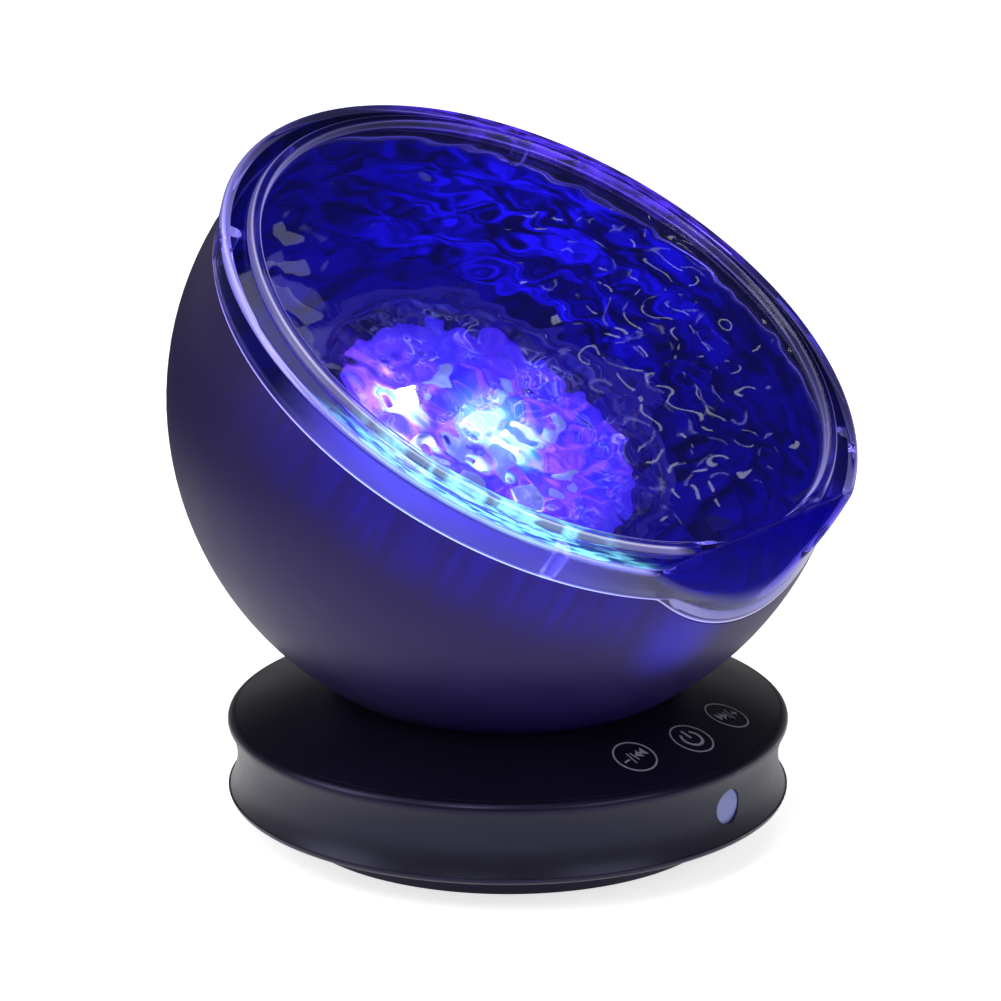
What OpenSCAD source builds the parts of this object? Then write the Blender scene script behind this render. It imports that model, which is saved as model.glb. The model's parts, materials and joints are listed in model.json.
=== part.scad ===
// Ocean wave projector: a ball-shaped light head with a slanted clear cover, set in a round base.
// Millimetres, +Z up. The origin is on the base's axis, on the surface that it stands on. The front is -Y.

/* [Head] */
// Outer diameter of the ball-shaped bowl
head_d = 150; // [140:1:165]
// Wall of the bowl
head_wall = 2.5; // [2:0.1:3.5]
// Slant of the open rim from level, in degrees
slant = 31; // [24:1:36]
// Height of the rim above the ball's centre, along the slanted axis
rim_h = 10.5; // [7:0.5:13]
// How far the ball's lowest point lies below the top of the band
ball_drop = 0.3; // [0:0.1:2]

/* [Cover] */
// Height of the clear skirt, from the rim to the flat top
skirt_h = 9.5; // [8:0.5:12]
// How far the skirt flares out past the rim
skirt_flare = 1.9; // [1:0.1:2.5]
// Wall of the clear cover
cover_wall = 2.2; // [1.8:0.1:2.6]
// Rounding of the cover's outer edge
edge_round = 1.4; // [0.8:0.1:2]
// Distance of the raised rib from the cover's edge
rib_inset = 6.2; // [5:0.1:7]
// Width of the rib
rib_w = 2.3; // [1.6:0.1:3]
// Height of the rib
rib_h = 1.8; // [1:0.1:2.5]
// Rounding of the rib's top edges
rib_round = 0.6; // [0.3:0.1:0.8]
// Angle between the flat front facet and the cover's top, in degrees
facet_tilt = 50.6; // [46:0.2:54]
// How deep the front facet cuts into the ball
facet_depth = 10.8; // [10:0.1:12]
// Depth of the clear skirt under the facet, square to the facet
facet_skirt = 5.4; // [3.6:0.1:5.6]
// Diameter of a locating peg
peg_d = 3.6; // [3:0.2:5]
// Diameter of the pin at a peg's end
peg_pin_d = 1.2; // [1:0.1:1.4]
// Length of that pin
peg_pin_h = 3; // [2:0.5:4]

/* [Wave lens] */
// Distance of the rippled lens from the rib
lens_inset = 4.6; // [4:0.1:7]
// Height of the ripples, trough to crest
ripple_h = 1.0; // [0.4:0.1:1.4]
// Distance between crests
ripple_pitch = 17; // [12:1:24]
// Width of the ledge under the lens
ledge_w = 2.5; // [1.5:0.1:3]
// Thickness of that ledge
ledge_t = 1.2; // [0.8:0.1:2]

/* [Grille] */
// Rows of slots in the back of the bowl
grille_rows = 7; // [3:2:9]
// Distance between rows, measured along the ball
grille_pitch = 3.8; // [3.4:0.1:4.2]
// Height of a slot
slot_h = 2.0; // [1.4:0.1:2.4]
// Angle of the grille's middle row below level, in degrees
grille_low = 31; // [28:1:34]
// Half the angle that the middle row takes around the ball
grille_half = 49; // [36:1:56]
// How much shorter the first and last rows are, as an angle at each end
grille_trim = 6; // [0:1:10]
// Slots in each row
slots_per_row = 8; // [4:1:12]
// Width of the bar between two slots
slot_bar = 2.6; // [1.8:0.1:4]

/* [Light and drive] */
// Height of the deck's top below the ball's centre
deck_low = 18; // [16:0.5:20]
// Thickness of the deck
deck_t = 2.5; // [2:0.1:3.5]
// Room between the deck's edge and the bowl
deck_room = 3.5; // [2:0.5:6]
// Distance of the deck's screws from its edge
deck_screw_inset = 6; // [5:0.5:8]
// Teeth of the pinion
pinion_teeth = 15; // [13, 15, 17]
// Size of a tooth, as pitch diameter over teeth
gear_mod = 1.0; // [0.98:0.01:1.02]
// Play between meshing flanks
gear_play = 0.25; // [0.2:0.05:0.4]
// Height of the ring gear's toothed part
ring_h = 5.2; // [4:0.2:6]
// Wall of the ring gear under its teeth
ring_wall = 5.4; // [5:0.1:6]
// Thickness of the rippled disc
disc_t = 2.0; // [1.6:0.1:2.6]
// Diameter of the lamp board
led_board_d = 60; // [56:1:64]
// Diameter of one lamp
led_d = 5; // [4:0.5:5]
// Height of one lamp
led_h = 5; // [4:0.5:5.4]
// Lamps on the outer ring
led_outer = 8; // [6:1:9]
// Lamps on the inner ring
led_inner = 4; // [3:1:4]
// Diameter of the motor
motor_d = 20; // [18:0.5:22]
// Room between the motor and the bowl
motor_room = 1; // [0.6:0.1:2]
// Length of the motor's can
motor_h = 13; // [10:0.5:15]
// Diameter of the motor's shaft
shaft_d = 3; // [2.5:0.1:3.2]

/* [Speaker] */
// Diameter of the speaker
speaker_d = 40; // [36:1:44]
// Depth of the speaker
speaker_h = 17; // [15:0.5:19]
// Diameter of its magnet
magnet_d = 24; // [20:1:26]

/* [Base] */
// Diameter of the base's top plate
base_d = 125.2; // [122:0.2:128]
// Wall of the base's shells
base_wall = 2.4; // [2:0.1:2.8]
// Radius of the dome of the top plate
dome_r = 161; // [150:1:175]
// Rounding of the top plate's edge
plate_round = 1.8; // [1.4:0.1:2.2]
// Height of the top plate's widest edge above the band
plate_lift = 1.0; // [0.6:0.1:1.4]
// Height of the side band
band_h = 14.4; // [13.4:0.2:15.4]
// Depth of the band's waist
band_waist = 1.8; // [1:0.1:2.4]
// Gap that shows as a dark line between two shells
seam_gap = 0.3; // [0.2:0.1:0.6]
// Height of the lip under the band
lip_h = 1.6; // [1.2:0.1:2]
// Diameter of the bottom shell where it meets the feet
bottom_d = 98; // [94:1:102]
// How much wider the bottom shell is under its lip, on each side
bottom_lean = 2.5; // [1:0.1:4]
// Height of the bottom shell below its lip
bottom_h = 7; // [6:0.5:8]
// How far the feet stand out
foot_h = 1.5; // [1:0.1:2.5]
// Diameter of a foot
foot_d = 10; // [8:0.5:12]
// Distance of the feet from the bottom shell's edge
foot_inset = 5; // [4:0.5:8]
// Number of feet
foot_count = 4; // [3, 4, 6]

/* [Controls and sockets] */
// Distance of the touch places from the base's edge
touch_inset = 11.6; // [10.5:0.1:14]
// Angle between neighbouring touch places
touch_step = 20; // [18:1:24]
// Diameter of a touch contact
touch_d = 9; // [7:0.5:10]
// Diameter of the remote receiver's window
window_d = 8; // [7:0.2:9]
// Distance of each socket from the middle of the back
socket_x = 12; // [10:0.5:15]
// Diameter of the power socket's opening
power_d = 5.6; // [5:0.1:6]
// Diameter of the power socket's pin
power_pin_d = 2; // [1.6:0.1:2.2]
// Diameter of the audio socket's bore
audio_d = 3.6; // [3.5:0.05:3.7]
// Depth of the sockets
socket_l = 12; // [10:0.5:13]
// Diameter of the wire loom through the neck
loom_d = 5; // [4:0.5:6]

/* [Fits] */
// Clearance between pieces that slide or turn past each other
play = 0.3; // [0.2:0.05:0.4]
// Radial clearance of a shaft or a pin in its bore
shaft_play = 0.05; // [0.02:0.01:0.08]
// Shank diameter of the case screws
screw_d = 2.6; // [2.2:0.1:3]
// Shank diameter of the small screws
small_screw_d = 2; // [1.8:0.1:2.2]

/* [Hidden] */
$fn = 96;
fine = 360;

// Heights in the base, from the surface up
bottom_z = foot_h;
lip_z = bottom_z + bottom_h;
band_z = lip_z + lip_h;
seam_z = band_z + band_h;
floor_z = bottom_z + base_wall;
base_r = base_d / 2;
plate_edge_z = seam_z + plate_lift;

// The ball and its slanted axis
head_r = head_d / 2;
head_in = head_r - head_wall;
ball_z = seam_z - ball_drop + head_r;
rim_r = sqrt(head_r * head_r - rim_h * rim_h);
rim_in = sqrt(head_in * head_in - rim_h * rim_h);
far = 2 * head_d;

// The dome of the base top is tangent to the rounding of its edge
round_r = base_r - plate_round;
dome_z = plate_edge_z - sqrt(pow(dome_r - plate_round, 2) - round_r * round_r);
seat_r = head_r + shaft_play;
foot_r = bottom_d / 2 - foot_d / 2 - foot_inset;
foot_turn = 90;
foot_sunk = 0.8;

// The clear cover, along the slanted axis
cover_r = rim_r + skirt_flare;
top_z = rim_h + skirt_h;
under_z = top_z - cover_wall;
skirt_lap = 0.5;
facet_dist = head_r - facet_depth;
rib_r = cover_r - rib_inset;
lens_r = rib_r - rib_w - lens_inset;
lens_rings = 20;
lens_spokes = 96;
peg_count = 4;
peg_r = rim_r - head_wall / 2;
peg_turn = 45;
peg_spare = 0.5;

// The deck and the drive, along the slanted axis
deck_z = -deck_low;
deck_under = deck_z - deck_t;
deck_r = sqrt(head_in * head_in - deck_under * deck_under) - deck_room;
deck_screw_r = deck_r - deck_screw_inset;
deck_screw_turn = 45;
// The ring gear has as many teeth as the bowl leaves room for beside the motor
flange_t = 1.2;
motor_low = deck_under - flange_t - motor_h;
motor_reach = sqrt(head_in * head_in - motor_low * motor_low) - motor_d / 2 - motor_room;
ring_teeth = floor(2 * motor_reach / gear_mod) - pinion_teeth;
pitch_r = ring_teeth * gear_mod / 2;
pinion_r = pinion_teeth * gear_mod / 2;
motor_x = pitch_r + pinion_r;
tooth_add = gear_mod;
tooth_ded = 1.25 * gear_mod;
pressure = 20;
ring_root = pitch_r - tooth_ded;
ring_bore = ring_root - ring_wall;
ring_z = deck_z + play;
ring_top = ring_z + ring_h;
collar_r = ring_bore - play;
collar_t = 2;
collar_top = ring_top + play;
keeper_t = 1.2;
keeper_lap = 1.2;
keeper_r = ring_bore + keeper_lap;
cup_in = keeper_r + play;
disc_ledge = 1.4;
disc_r = cup_in + disc_ledge;
disc_wall = 1.4;
cup_out = disc_r + play + disc_wall;
disc_lift = 1.6;
disc_z = collar_top + keeper_t + disc_lift;
disc_rings = 14;
disc_spokes = 72;
pinion_h = ring_h - 2 * play;
pinion_z = ring_z + play;
ear_y = motor_d / 2 + 3;
bush_h = deck_t - 0.5;
bush_r = shaft_d / 2 + 1.6;
shaft_in = 6;
board_t = 1.6;
lamp_z = deck_z + board_t;
mirror_foot = 5;
lamp_room = 2.8;
lamp_gap = 7.5;
lamps_out = led_board_d / 2 - mirror_foot - lamp_room - led_d / 2;
lamps_in = lamps_out - led_d - lamp_gap;
lamps_out_turn = 31.5;
lamps_in_turn = -9;
mirror_t = 1;
boss_r = 4;
screw_head_r = 2.6;
screw_head_h = 1.6;
screw_bite = 7;
screw_spare = 0.5;
lap = 0.5;
small_head_r = 1.9;
small_head_h = 1.3;

// The speaker faces out along the grille's middle
speaker_r = speaker_d / 2;
speaker_ring = speaker_r + 3;
speaker_seat = sqrt(head_in * head_in - speaker_ring * speaker_ring);
speaker_flange = 1.6;
speaker_screw_r = speaker_r + 0.4;
speaker_screw_turn = 45;
basket_h = speaker_h / 2;
basket_t = 1.2;
basket_low = magnet_d / 2 - 1;
basket_top = speaker_r - 2;
cap_inset = 2;
cap_edge = 1.6;
cap_top = 3;

// The neck and the boards in the base
neck_screw_r = 20;
neck_turn = 90;
neck_boss_h = 9;
// The seat has flat bosses below for the heads of the neck screws
neck_seat_z = ball_z - sqrt(pow(seat_r + base_wall, 2) - pow(neck_screw_r - boss_r, 2));
neck_hole_r = loom_d / 2 + 2;
board_lift = 8;
board_z = floor_z + board_lift;
board_top = board_z + board_t;
band_in = base_r - band_waist - base_wall;
board_r = band_in - 1.4;
base_boss_r = 4;
base_screw_r = bottom_d / 2 - base_wall - base_boss_r - play;
base_screw_turn = 45;
well_h = 3;
well_top = floor_z + well_h;
board_screw_r = 30;
board_screw_turn = 30;
window_z = seam_z - band_h / 2;
window_recess = 0.4;
touch_r = base_r - touch_inset;
pad_t = 1.2;
chip_at = [-20, -12, 0];
chip_size = [10, 8, 2];
driver_at = [12, 8, 0];
driver_size = [6, 5, 1.6];
capacitor_at = [-16, 14, 0];
capacitor_d = 6.3;
capacitor_h = 5;
receiver_w = 6;
receiver_t = 5;
receiver_room = 2;
jack_w = 9;
jack_h = 8;
jack_end = 1.6;
barrel_d = jack_w - 1.6;
socket_z = board_top + jack_h / 2;
mouth_y = sqrt(pow(base_r - seam_gap - band_waist, 2) - socket_x * socket_x) - 0.6;
jack_back = mouth_y - socket_l - jack_end;
jack_front = sqrt(band_in * band_in - pow(socket_x + jack_w / 2, 2)) - play;
band_arc = (band_h * band_h / 4 + band_waist * band_waist) / (2 * band_waist);

// Stands a shape on the ball's slanted axis
module on_head() {
    translate([0, 0, ball_z]) rotate([slant, 0, 0]) children();
}

// Everything further out than a plane that is parallel to the front facet
module past_facet(dist) {
    rotate([facet_tilt, 0, 0]) translate([-far / 2, -far / 2, dist]) cube(far);
}

// Everything above a height on the axis, and everything below it
module above(height) {
    translate([-far / 2, -far / 2, height]) cube(far);
}

module below(height) {
    translate([-far / 2, -far / 2, height - far]) cube(far);
}

// Copies a shape around the axis
module around(count, radius, turn = 0) {
    for (i = [0 : count - 1]) rotate(turn + i * 360 / count) translate([radius, 0, 0]) children();
}

// A pan-head screw whose head starts at the origin and whose shank goes down
module screw(shank, bite, head_r, head_h) {
    translate([0, 0, -bite]) cylinder(d = shank, h = bite);
    cylinder(r = head_r, h = head_h);
}

// A surface of crossing wave trains, between 0 and 1
function swell(x, y, pitch) =
    0.5 + 0.2 * sin(360 * (0.94 * x + 0.34 * y) / pitch)
    + 0.18 * sin(360 * (0.50 * x - 0.87 * y) / (1.3 * pitch) + 70)
    + 0.12 * sin(360 * (0.17 * x + 0.98 * y) / (0.8 * pitch) + 200);

// A round clear plate with a rippled top, from rings of points
module rippled_plate(radius, thick, height, pitch, rings, spokes) {
    top = [for (i = [1 : rings], k = [0 : spokes - 1])
        let (r = radius * i / rings, a = 360 * (k + 0.5 * (i % 2)) / spokes, x = r * cos(a), y = r * sin(a))
        [x, y, thick - height + height * swell(x, y, pitch)]];
    low = [for (k = [0 : spokes - 1])
        let (a = 360 * (k + 0.5 * (rings % 2)) / spokes) [radius * cos(a), radius * sin(a), 0]];
    middle = [[0, 0, thick - height + height * swell(0, 0, pitch)]];
    n = rings * spokes;
    rim = n - spokes;
    faces = concat(
        [for (k = [0 : spokes - 1]) [n + spokes, (k + 1) % spokes, k]],
        [for (i = [0 : rings - 2], k = [0 : spokes - 1])
            let (a = i * spokes, b = a + spokes, j = (k + 1) % spokes, odd = (i + 1) % 2)
            odd == 1 ? [a + k, a + j, b + j] : [a + k, b + j, b + k]],
        [for (i = [0 : rings - 2], k = [0 : spokes - 1])
            let (a = i * spokes, b = a + spokes, j = (k + 1) % spokes, odd = (i + 1) % 2)
            odd == 1 ? [a + k, b + j, b + k] : [a + k, a + j, b + j]],
        [for (k = [0 : spokes - 1]) let (j = (k + 1) % spokes) [rim + k, rim + j, n + j]],
        [for (k = [0 : spokes - 1]) let (j = (k + 1) % spokes) [rim + k, n + j, n + k]],
        [[for (k = [0 : spokes - 1]) n + k]]
    );
    polyhedron(concat(top, low, middle), faces);
}

// A point on the involute of a base circle, at a given radius
function involute(base, radius) =
    let (roll = sqrt(max(radius * radius / (base * base) - 1, 0)))
    roll * 180 / PI - atan(roll);

// The outline of a spur gear with a tooth on the +X axis
module gear_outline(teeth) {
    pitch = teeth * gear_mod / 2;
    base = pitch * cos(pressure);
    tip = pitch + tooth_add;
    root = pitch - tooth_ded;
    low = max(root, base);
    half = 90 / teeth - gear_play / 2 / pitch * 180 / PI + involute(base, pitch);
    steps = 2;
    flank = [for (i = [0 : steps]) let (r = low + (tip - low) * i / steps) [r, half - involute(base, r)]];
    back = [for (i = [steps : -1 : 0]) [flank[i][0], -flank[i][1]]];
    tooth = concat([[root, half]], flank, back, [[root, -half]]);
    polygon([for (t = [0 : teeth - 1], p = tooth)
        let (a = 360 * t / teeth - p[1]) [p[0] * cos(a), p[0] * sin(a)]]);
}

// Slot cutters in rows around the back of the ball
module grille() {
    mid = (grille_rows - 1) / 2;
    for (i = [-mid : mid]) {
        drop = grille_low + i * grille_pitch / head_r * 180 / PI;
        half = grille_half - grille_trim * pow(i / mid, 2);
        ring = head_r * cos(drop);
        step = 2 * half / slots_per_row;
        wide = step - slot_bar / ring * 180 / PI;
        for (k = [0 : slots_per_row - 1])
            translate([0, 0, ball_z - head_r * sin(drop)])
                rotate(90 - half + (k + 0.5) * step - wide / 2)
                    rotate_extrude(angle = wide)
                        translate([ring - 3 * head_wall, -slot_h / 2]) square([6 * head_wall, slot_h]);
    }
}

// Places a shape at the speaker, with +Z pointing out through the grille
module at_speaker() {
    translate([0, 0, ball_z]) rotate([-90 - grille_low, 0, 0]) children();
}

module head_bowl() color("#1b1a1f") difference() {
    union() {
        difference() {
            translate([0, 0, ball_z]) sphere(r = head_r);
            translate([0, 0, ball_z]) sphere(r = head_in);
        }
        // Bosses for the deck and the neck, and the speaker's seat, grown into half of the wall
        intersection() {
            translate([0, 0, ball_z]) sphere(r = head_in + head_wall / 2);
            union() {
                on_head() around(4, deck_screw_r, deck_screw_turn) translate([0, 0, -head_r])
                    cylinder(r = boss_r, h = head_r + deck_under);
                around(3, neck_screw_r, neck_turn) translate([0, 0, seam_z])
                    cylinder(r = boss_r, h = neck_boss_h);
                at_speaker() translate([0, 0, speaker_seat]) difference() {
                    cylinder(r = speaker_ring, h = 4 * head_wall);
                    translate([0, 0, -1]) cylinder(r = basket_top, h = 4 * head_wall + 2);
                }
            }
        }
    }
    on_head() above(rim_h);
    on_head() past_facet(facet_dist - facet_skirt);
    on_head() around(peg_count, peg_r, peg_turn) translate([0, 0, rim_h - peg_pin_h - peg_spare])
        cylinder(d = peg_pin_d + 2 * shaft_play, h = peg_pin_h + 1);
    on_head() around(4, deck_screw_r, deck_screw_turn) translate([0, 0, deck_under - screw_bite])
        cylinder(d = screw_d, h = screw_bite + 1);
    around(3, neck_screw_r, neck_turn) cylinder(d = screw_d, h = seam_z + screw_bite);
    translate([0, 0, ball_z - head_r - 1]) cylinder(r = neck_hole_r, h = 3 * head_wall);
    at_speaker() around(4, speaker_screw_r, speaker_screw_turn) translate([0, 0, speaker_seat - 1])
        cylinder(d = small_screw_d, h = head_wall + 1.2);
    grille();
}

// Half of the cover's section, drawn in by an inset. The skirt's line leaves the ball just under the rim
// and is carried on a little way inside it, so that the two cross cleanly.
module cover_section(inset) {
    ball = head_r - inset;
    wide = cover_r - inset;
    top = top_z - inset;
    soft = inset > 0 ? 0 : edge_round;
    corner = inset > 0 ? [[wide, top]] : [[wide, top - soft], [wide - soft, top]];
    leave_z = rim_h - skirt_lap;
    leave_r = sqrt(ball * ball - leave_z * leave_z);
    foot_z = leave_z - skirt_h / 2;
    flare = (wide - leave_r) / (top - soft - leave_z);
    polygon(concat([[0, foot_z], [leave_r - flare * skirt_h / 2, foot_z]], corner, [[0, top]]));
    if (soft > 0) translate([wide - soft, top - soft]) intersection() {
        circle(r = soft);
        square(soft);
    }
    intersection() {
        circle(r = ball);
        square([ball, rim_h]);
    }
}

// Half section of the rib, with rounded top edges
module rib_section() {
    translate([rib_r - rib_w, top_z - cover_wall / 2]) square([rib_w, rib_h - rib_round + cover_wall / 2]);
    translate([rib_r - rib_w + rib_round, top_z]) square([rib_w - 2 * rib_round, rib_h]);
    for (r = [rib_r - rib_w + rib_round, rib_r - rib_round])
        translate([r, top_z + rib_h - rib_round]) circle(rib_round);
}

module wave_cover() color("#8fa0ff") on_head() difference() {
    union() {
        // Skirt and flat top
        difference() {
            rotate_extrude() difference() {
                cover_section(0);
                cover_section(cover_wall);
            }
            difference() {
                below(rim_h);
                past_facet(facet_dist - facet_skirt);
            }
        }
        // Flat front facet
        intersection() {
            rotate_extrude() cover_section(0);
            past_facet(facet_dist - cover_wall);
            past_facet(facet_dist - facet_skirt);
        }
        // Raised rib on top, ledge for the lens below
        rotate_extrude() {
            rib_section();
            translate([lens_r - ledge_w, under_z - ledge_t]) square([2 * ledge_w, ledge_t + cover_wall / 2]);
        }
        // Pegs down the skirt, each over a pin that goes into the rim
        intersection() {
            rotate_extrude() cover_section(cover_wall / 2);
            around(peg_count, peg_r, peg_turn) translate([0, 0, rim_h + play])
                cylinder(d = peg_d, h = skirt_h);
        }
        around(peg_count, peg_r, peg_turn) translate([0, 0, rim_h - peg_pin_h])
            cylinder(d = peg_pin_d, h = peg_pin_h + 1);
    }
    past_facet(facet_dist);
    translate([0, 0, under_z]) cylinder(r = lens_r + play, h = cover_wall + rib_h + 1);
}

module wave_lens() color("#5a66ff") on_head() translate([0, 0, under_z])
    rippled_plate(lens_r, cover_wall + ripple_h / 2, ripple_h, ripple_pitch, lens_rings, lens_spokes);

module light_deck() color("#24242c") difference() {
    on_head() difference() {
        union() {
            translate([0, 0, deck_under]) cylinder(r = deck_r, h = deck_t);
            translate([0, 0, deck_z]) difference() {
                translate([0, 0, -deck_t / 2]) cylinder(r = collar_r, h = collar_top - deck_z + deck_t / 2);
                cylinder(r = collar_r - collar_t, h = collar_top - deck_z + 1);
            }
        }
        around(4, deck_screw_r, deck_screw_turn) translate([0, 0, deck_under - 1])
            cylinder(d = screw_d + 2 * play, h = deck_t + 2);
        translate([motor_x, 0, deck_under - 1]) cylinder(r = bush_r + play, h = deck_t + 2);
        for (s = [-1, 1]) translate([motor_x, s * ear_y, deck_under - 1])
            cylinder(d = small_screw_d, h = deck_t + 2);
    }
    // The loom comes straight up through the deck
    cylinder(r = loom_d / 2 + play, h = ball_z);
}

module deck_screws() color("#9a9aa0") on_head() around(4, deck_screw_r, deck_screw_turn)
    translate([0, 0, deck_z]) screw(screw_d, deck_t + screw_bite - screw_spare, screw_head_r, screw_head_h);

module led_board() color("#e8e8ee") on_head() translate([0, 0, deck_z])
    cylinder(d = led_board_d, h = board_t);

// A lamp with a domed top, turned from its half section
module one_lamp() rotate_extrude() {
    square([led_d / 2, led_h - led_d / 2]);
    translate([0, led_h - led_d / 2]) intersection() {
        circle(d = led_d);
        square(led_d);
    }
}

module led_lamps() color("#cfe4ff") on_head() translate([0, 0, lamp_z]) {
    around(led_outer, lamps_out, lamps_out_turn) one_lamp();
    around(led_inner, lamps_in, lamps_in_turn) one_lamp();
}

module led_reflector() color("#d8d8e2") on_head() translate([0, 0, lamp_z]) rotate_extrude() polygon([
    [led_board_d / 2 - mirror_foot, 0], [led_board_d / 2 - mirror_foot + mirror_t, 0],
    [collar_r - collar_t - play, collar_top - lamp_z],
    [collar_r - collar_t - play - mirror_t, collar_top - lamp_z]]);

module drive_ring() color("#b9bccb") on_head() union() {
    translate([0, 0, ring_z]) linear_extrude(ring_h) difference() {
        gear_outline(ring_teeth);
        circle(r = ring_bore);
    }
    rotate_extrude() polygon([
        [cup_in, ring_top - ring_h / 4], [cup_out, ring_top - ring_h / 4], [cup_out, disc_z + disc_t],
        [disc_r + play, disc_z + disc_t], [disc_r + play, disc_z], [cup_in, disc_z]]);
}

module ripple_disc() color("#b9a8ff") on_head() translate([0, 0, disc_z])
    rippled_plate(disc_r, disc_t, ripple_h, 0.8 * ripple_pitch, disc_rings, disc_spokes);

module keeper_ring() color("#3a3a44") on_head() translate([0, 0, collar_top]) difference() {
    cylinder(r = keeper_r, h = keeper_t);
    translate([0, 0, -1]) cylinder(r = collar_r - collar_t, h = keeper_t + 2);
}

module gear_motor() color("#a7a9b0") on_head() translate([motor_x, 0, deck_under]) difference() {
    union() {
        translate([0, 0, -motor_h - flange_t]) cylinder(d = motor_d, h = motor_h + flange_t);
        translate([0, 0, -flange_t]) linear_extrude(flange_t) union() {
            square([2 * small_head_r + 2, 2 * ear_y], center = true);
            for (s = [-1, 1]) translate([0, s * ear_y]) circle(r = small_head_r + 1);
        }
        cylinder(r = bush_r, h = bush_h);
    }
    translate([0, 0, -shaft_in]) cylinder(d = shaft_d + 2 * shaft_play, h = shaft_in + bush_h + 1);
    for (s = [-1, 1]) translate([0, s * ear_y, -flange_t - 1])
        cylinder(d = small_screw_d + 2 * play, h = flange_t + 2);
}

module motor_shaft() color("#c9c9cf") on_head() translate([motor_x, 0, deck_under - shaft_in + play])
    cylinder(d = shaft_d, h = pinion_z + pinion_h - deck_under + shaft_in - play);

module drive_pinion() color("#f2f2f2") on_head() translate([motor_x, 0, pinion_z]) difference() {
    linear_extrude(pinion_h) gear_outline(pinion_teeth);
    translate([0, 0, -1]) cylinder(d = shaft_d + 2 * shaft_play, h = pinion_h + 2);
}

module motor_screws() color("#9a9aa0") on_head()
    for (s = [-1, 1]) translate([motor_x, s * ear_y, deck_under - flange_t]) rotate([180, 0, 0])
        screw(small_screw_d, flange_t + deck_t - screw_spare, small_head_r, small_head_h);

module speaker_frame() color("#4a4b52") at_speaker() translate([0, 0, speaker_seat]) difference() {
    union() {
        translate([0, 0, -speaker_flange]) cylinder(r = speaker_ring - play, h = speaker_flange);
        translate([0, 0, -basket_h]) cylinder(r1 = basket_low, r2 = basket_top, h = basket_h);
    }
    translate([0, 0, basket_t - basket_h])
        cylinder(r1 = basket_low - basket_t, r2 = basket_top - basket_t, h = basket_h);
    around(4, speaker_screw_r, speaker_screw_turn) translate([0, 0, -speaker_flange - 1])
        cylinder(d = small_screw_d + 2 * play, h = speaker_flange + 2);
}

module speaker_cone() color("#2b2b30") at_speaker() translate([0, 0, speaker_seat + basket_t - basket_h])
    rotate_extrude() {
        lean = (basket_top - basket_low) / basket_h;
        low = basket_low - basket_t - play;
        rise = basket_h - basket_t - play;
        polygon([[0, 0], [low, 0], [low + lean * rise, rise], [low + lean * rise - 1.4, rise],
            [low - cap_inset, cap_edge], [0, cap_top]]);
    }

module speaker_magnet() color("#6d6e75") at_speaker() translate([0, 0, speaker_seat - speaker_h])
    cylinder(d = magnet_d, h = speaker_h - basket_h);

module speaker_screws() color("#9a9aa0") at_speaker() around(4, speaker_screw_r, speaker_screw_turn)
    translate([0, 0, speaker_seat - speaker_flange]) rotate([180, 0, 0])
        screw(small_screw_d, speaker_flange + head_wall - screw_spare, small_head_r - play, small_head_h);

module neck_screws() color("#9a9aa0") around(3, neck_screw_r, neck_turn) translate([0, 0, neck_seat_z])
    rotate([180, 0, 0]) screw(screw_d, seam_z - neck_seat_z + screw_bite - 0.5, screw_head_r, screw_head_h);

module wire_loom() color("#202024") difference() {
    translate([0, 0, board_top]) cylinder(d = loom_d, h = ball_z - board_top);
    on_head() above(deck_z);
}

// Outline of the domed top plate, with a rounded edge
module plate_profile() {
    intersection() {
        union() {
            intersection() {
                translate([0, dome_z]) circle(r = dome_r, $fn = fine);
                square([round_r, far]);
            }
            translate([round_r, plate_edge_z]) circle(r = plate_round);
            square([round_r, plate_edge_z]);
        }
        translate([0, seam_z]) square(far);
    }
}

module base_top() color("#17171b") difference() {
    union() {
        difference() {
            rotate_extrude() plate_profile();
            translate([0, 0, ball_z]) sphere(r = seat_r);
            difference() {
                intersection() {
                    translate([0, 0, dome_z]) sphere(r = dome_r - base_wall, $fn = fine);
                    translate([0, 0, seam_z - 1]) cylinder(r = base_r - base_wall - plate_round, h = far);
                }
                translate([0, 0, ball_z]) sphere(r = seat_r + base_wall);
            }
        }
        // The dish of the seat goes down through the plate, with bosses for the neck screws
        difference() {
            union() {
                intersection() {
                    translate([0, 0, ball_z]) sphere(r = seat_r + base_wall);
                    cylinder(r = neck_screw_r + 4 * boss_r, h = seam_z + 2);
                }
                around(3, neck_screw_r, neck_turn) translate([0, 0, neck_seat_z])
                    cylinder(r = boss_r, h = seam_z + 2 - neck_seat_z);
            }
            translate([0, 0, ball_z]) sphere(r = seat_r);
        }
        intersection() {
            translate([0, 0, dome_z]) sphere(r = dome_r - base_wall / 2, $fn = fine);
            around(4, base_screw_r, base_screw_turn) translate([0, 0, well_top])
                cylinder(r = base_boss_r, h = far / 4);
        }
    }
    around(4, base_screw_r, base_screw_turn) translate([0, 0, well_top - 1])
        cylinder(d = screw_d, h = screw_bite + 1);
    around(3, neck_screw_r, neck_turn) cylinder(d = screw_d + 2 * play, h = ball_z);
    cylinder(r = neck_hole_r, h = ball_z);
}

module base_band() color("#232328") difference() {
    rotate_extrude() difference() {
        translate([band_in, band_z]) square([base_r - seam_gap - band_in, band_h]);
        translate([base_r - seam_gap + band_arc - band_waist, band_z + band_h / 2])
            circle(r = band_arc, $fn = fine);
    }
    translate([0, 0, window_z]) rotate([90, 0, 0]) cylinder(d = window_d + 2 * shaft_play, h = far);
    for (s = [-1, 1]) translate([s * socket_x, 0, socket_z]) rotate([-90, 0, 0])
        cylinder(d = barrel_d + 2 * play, h = far);
}

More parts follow.
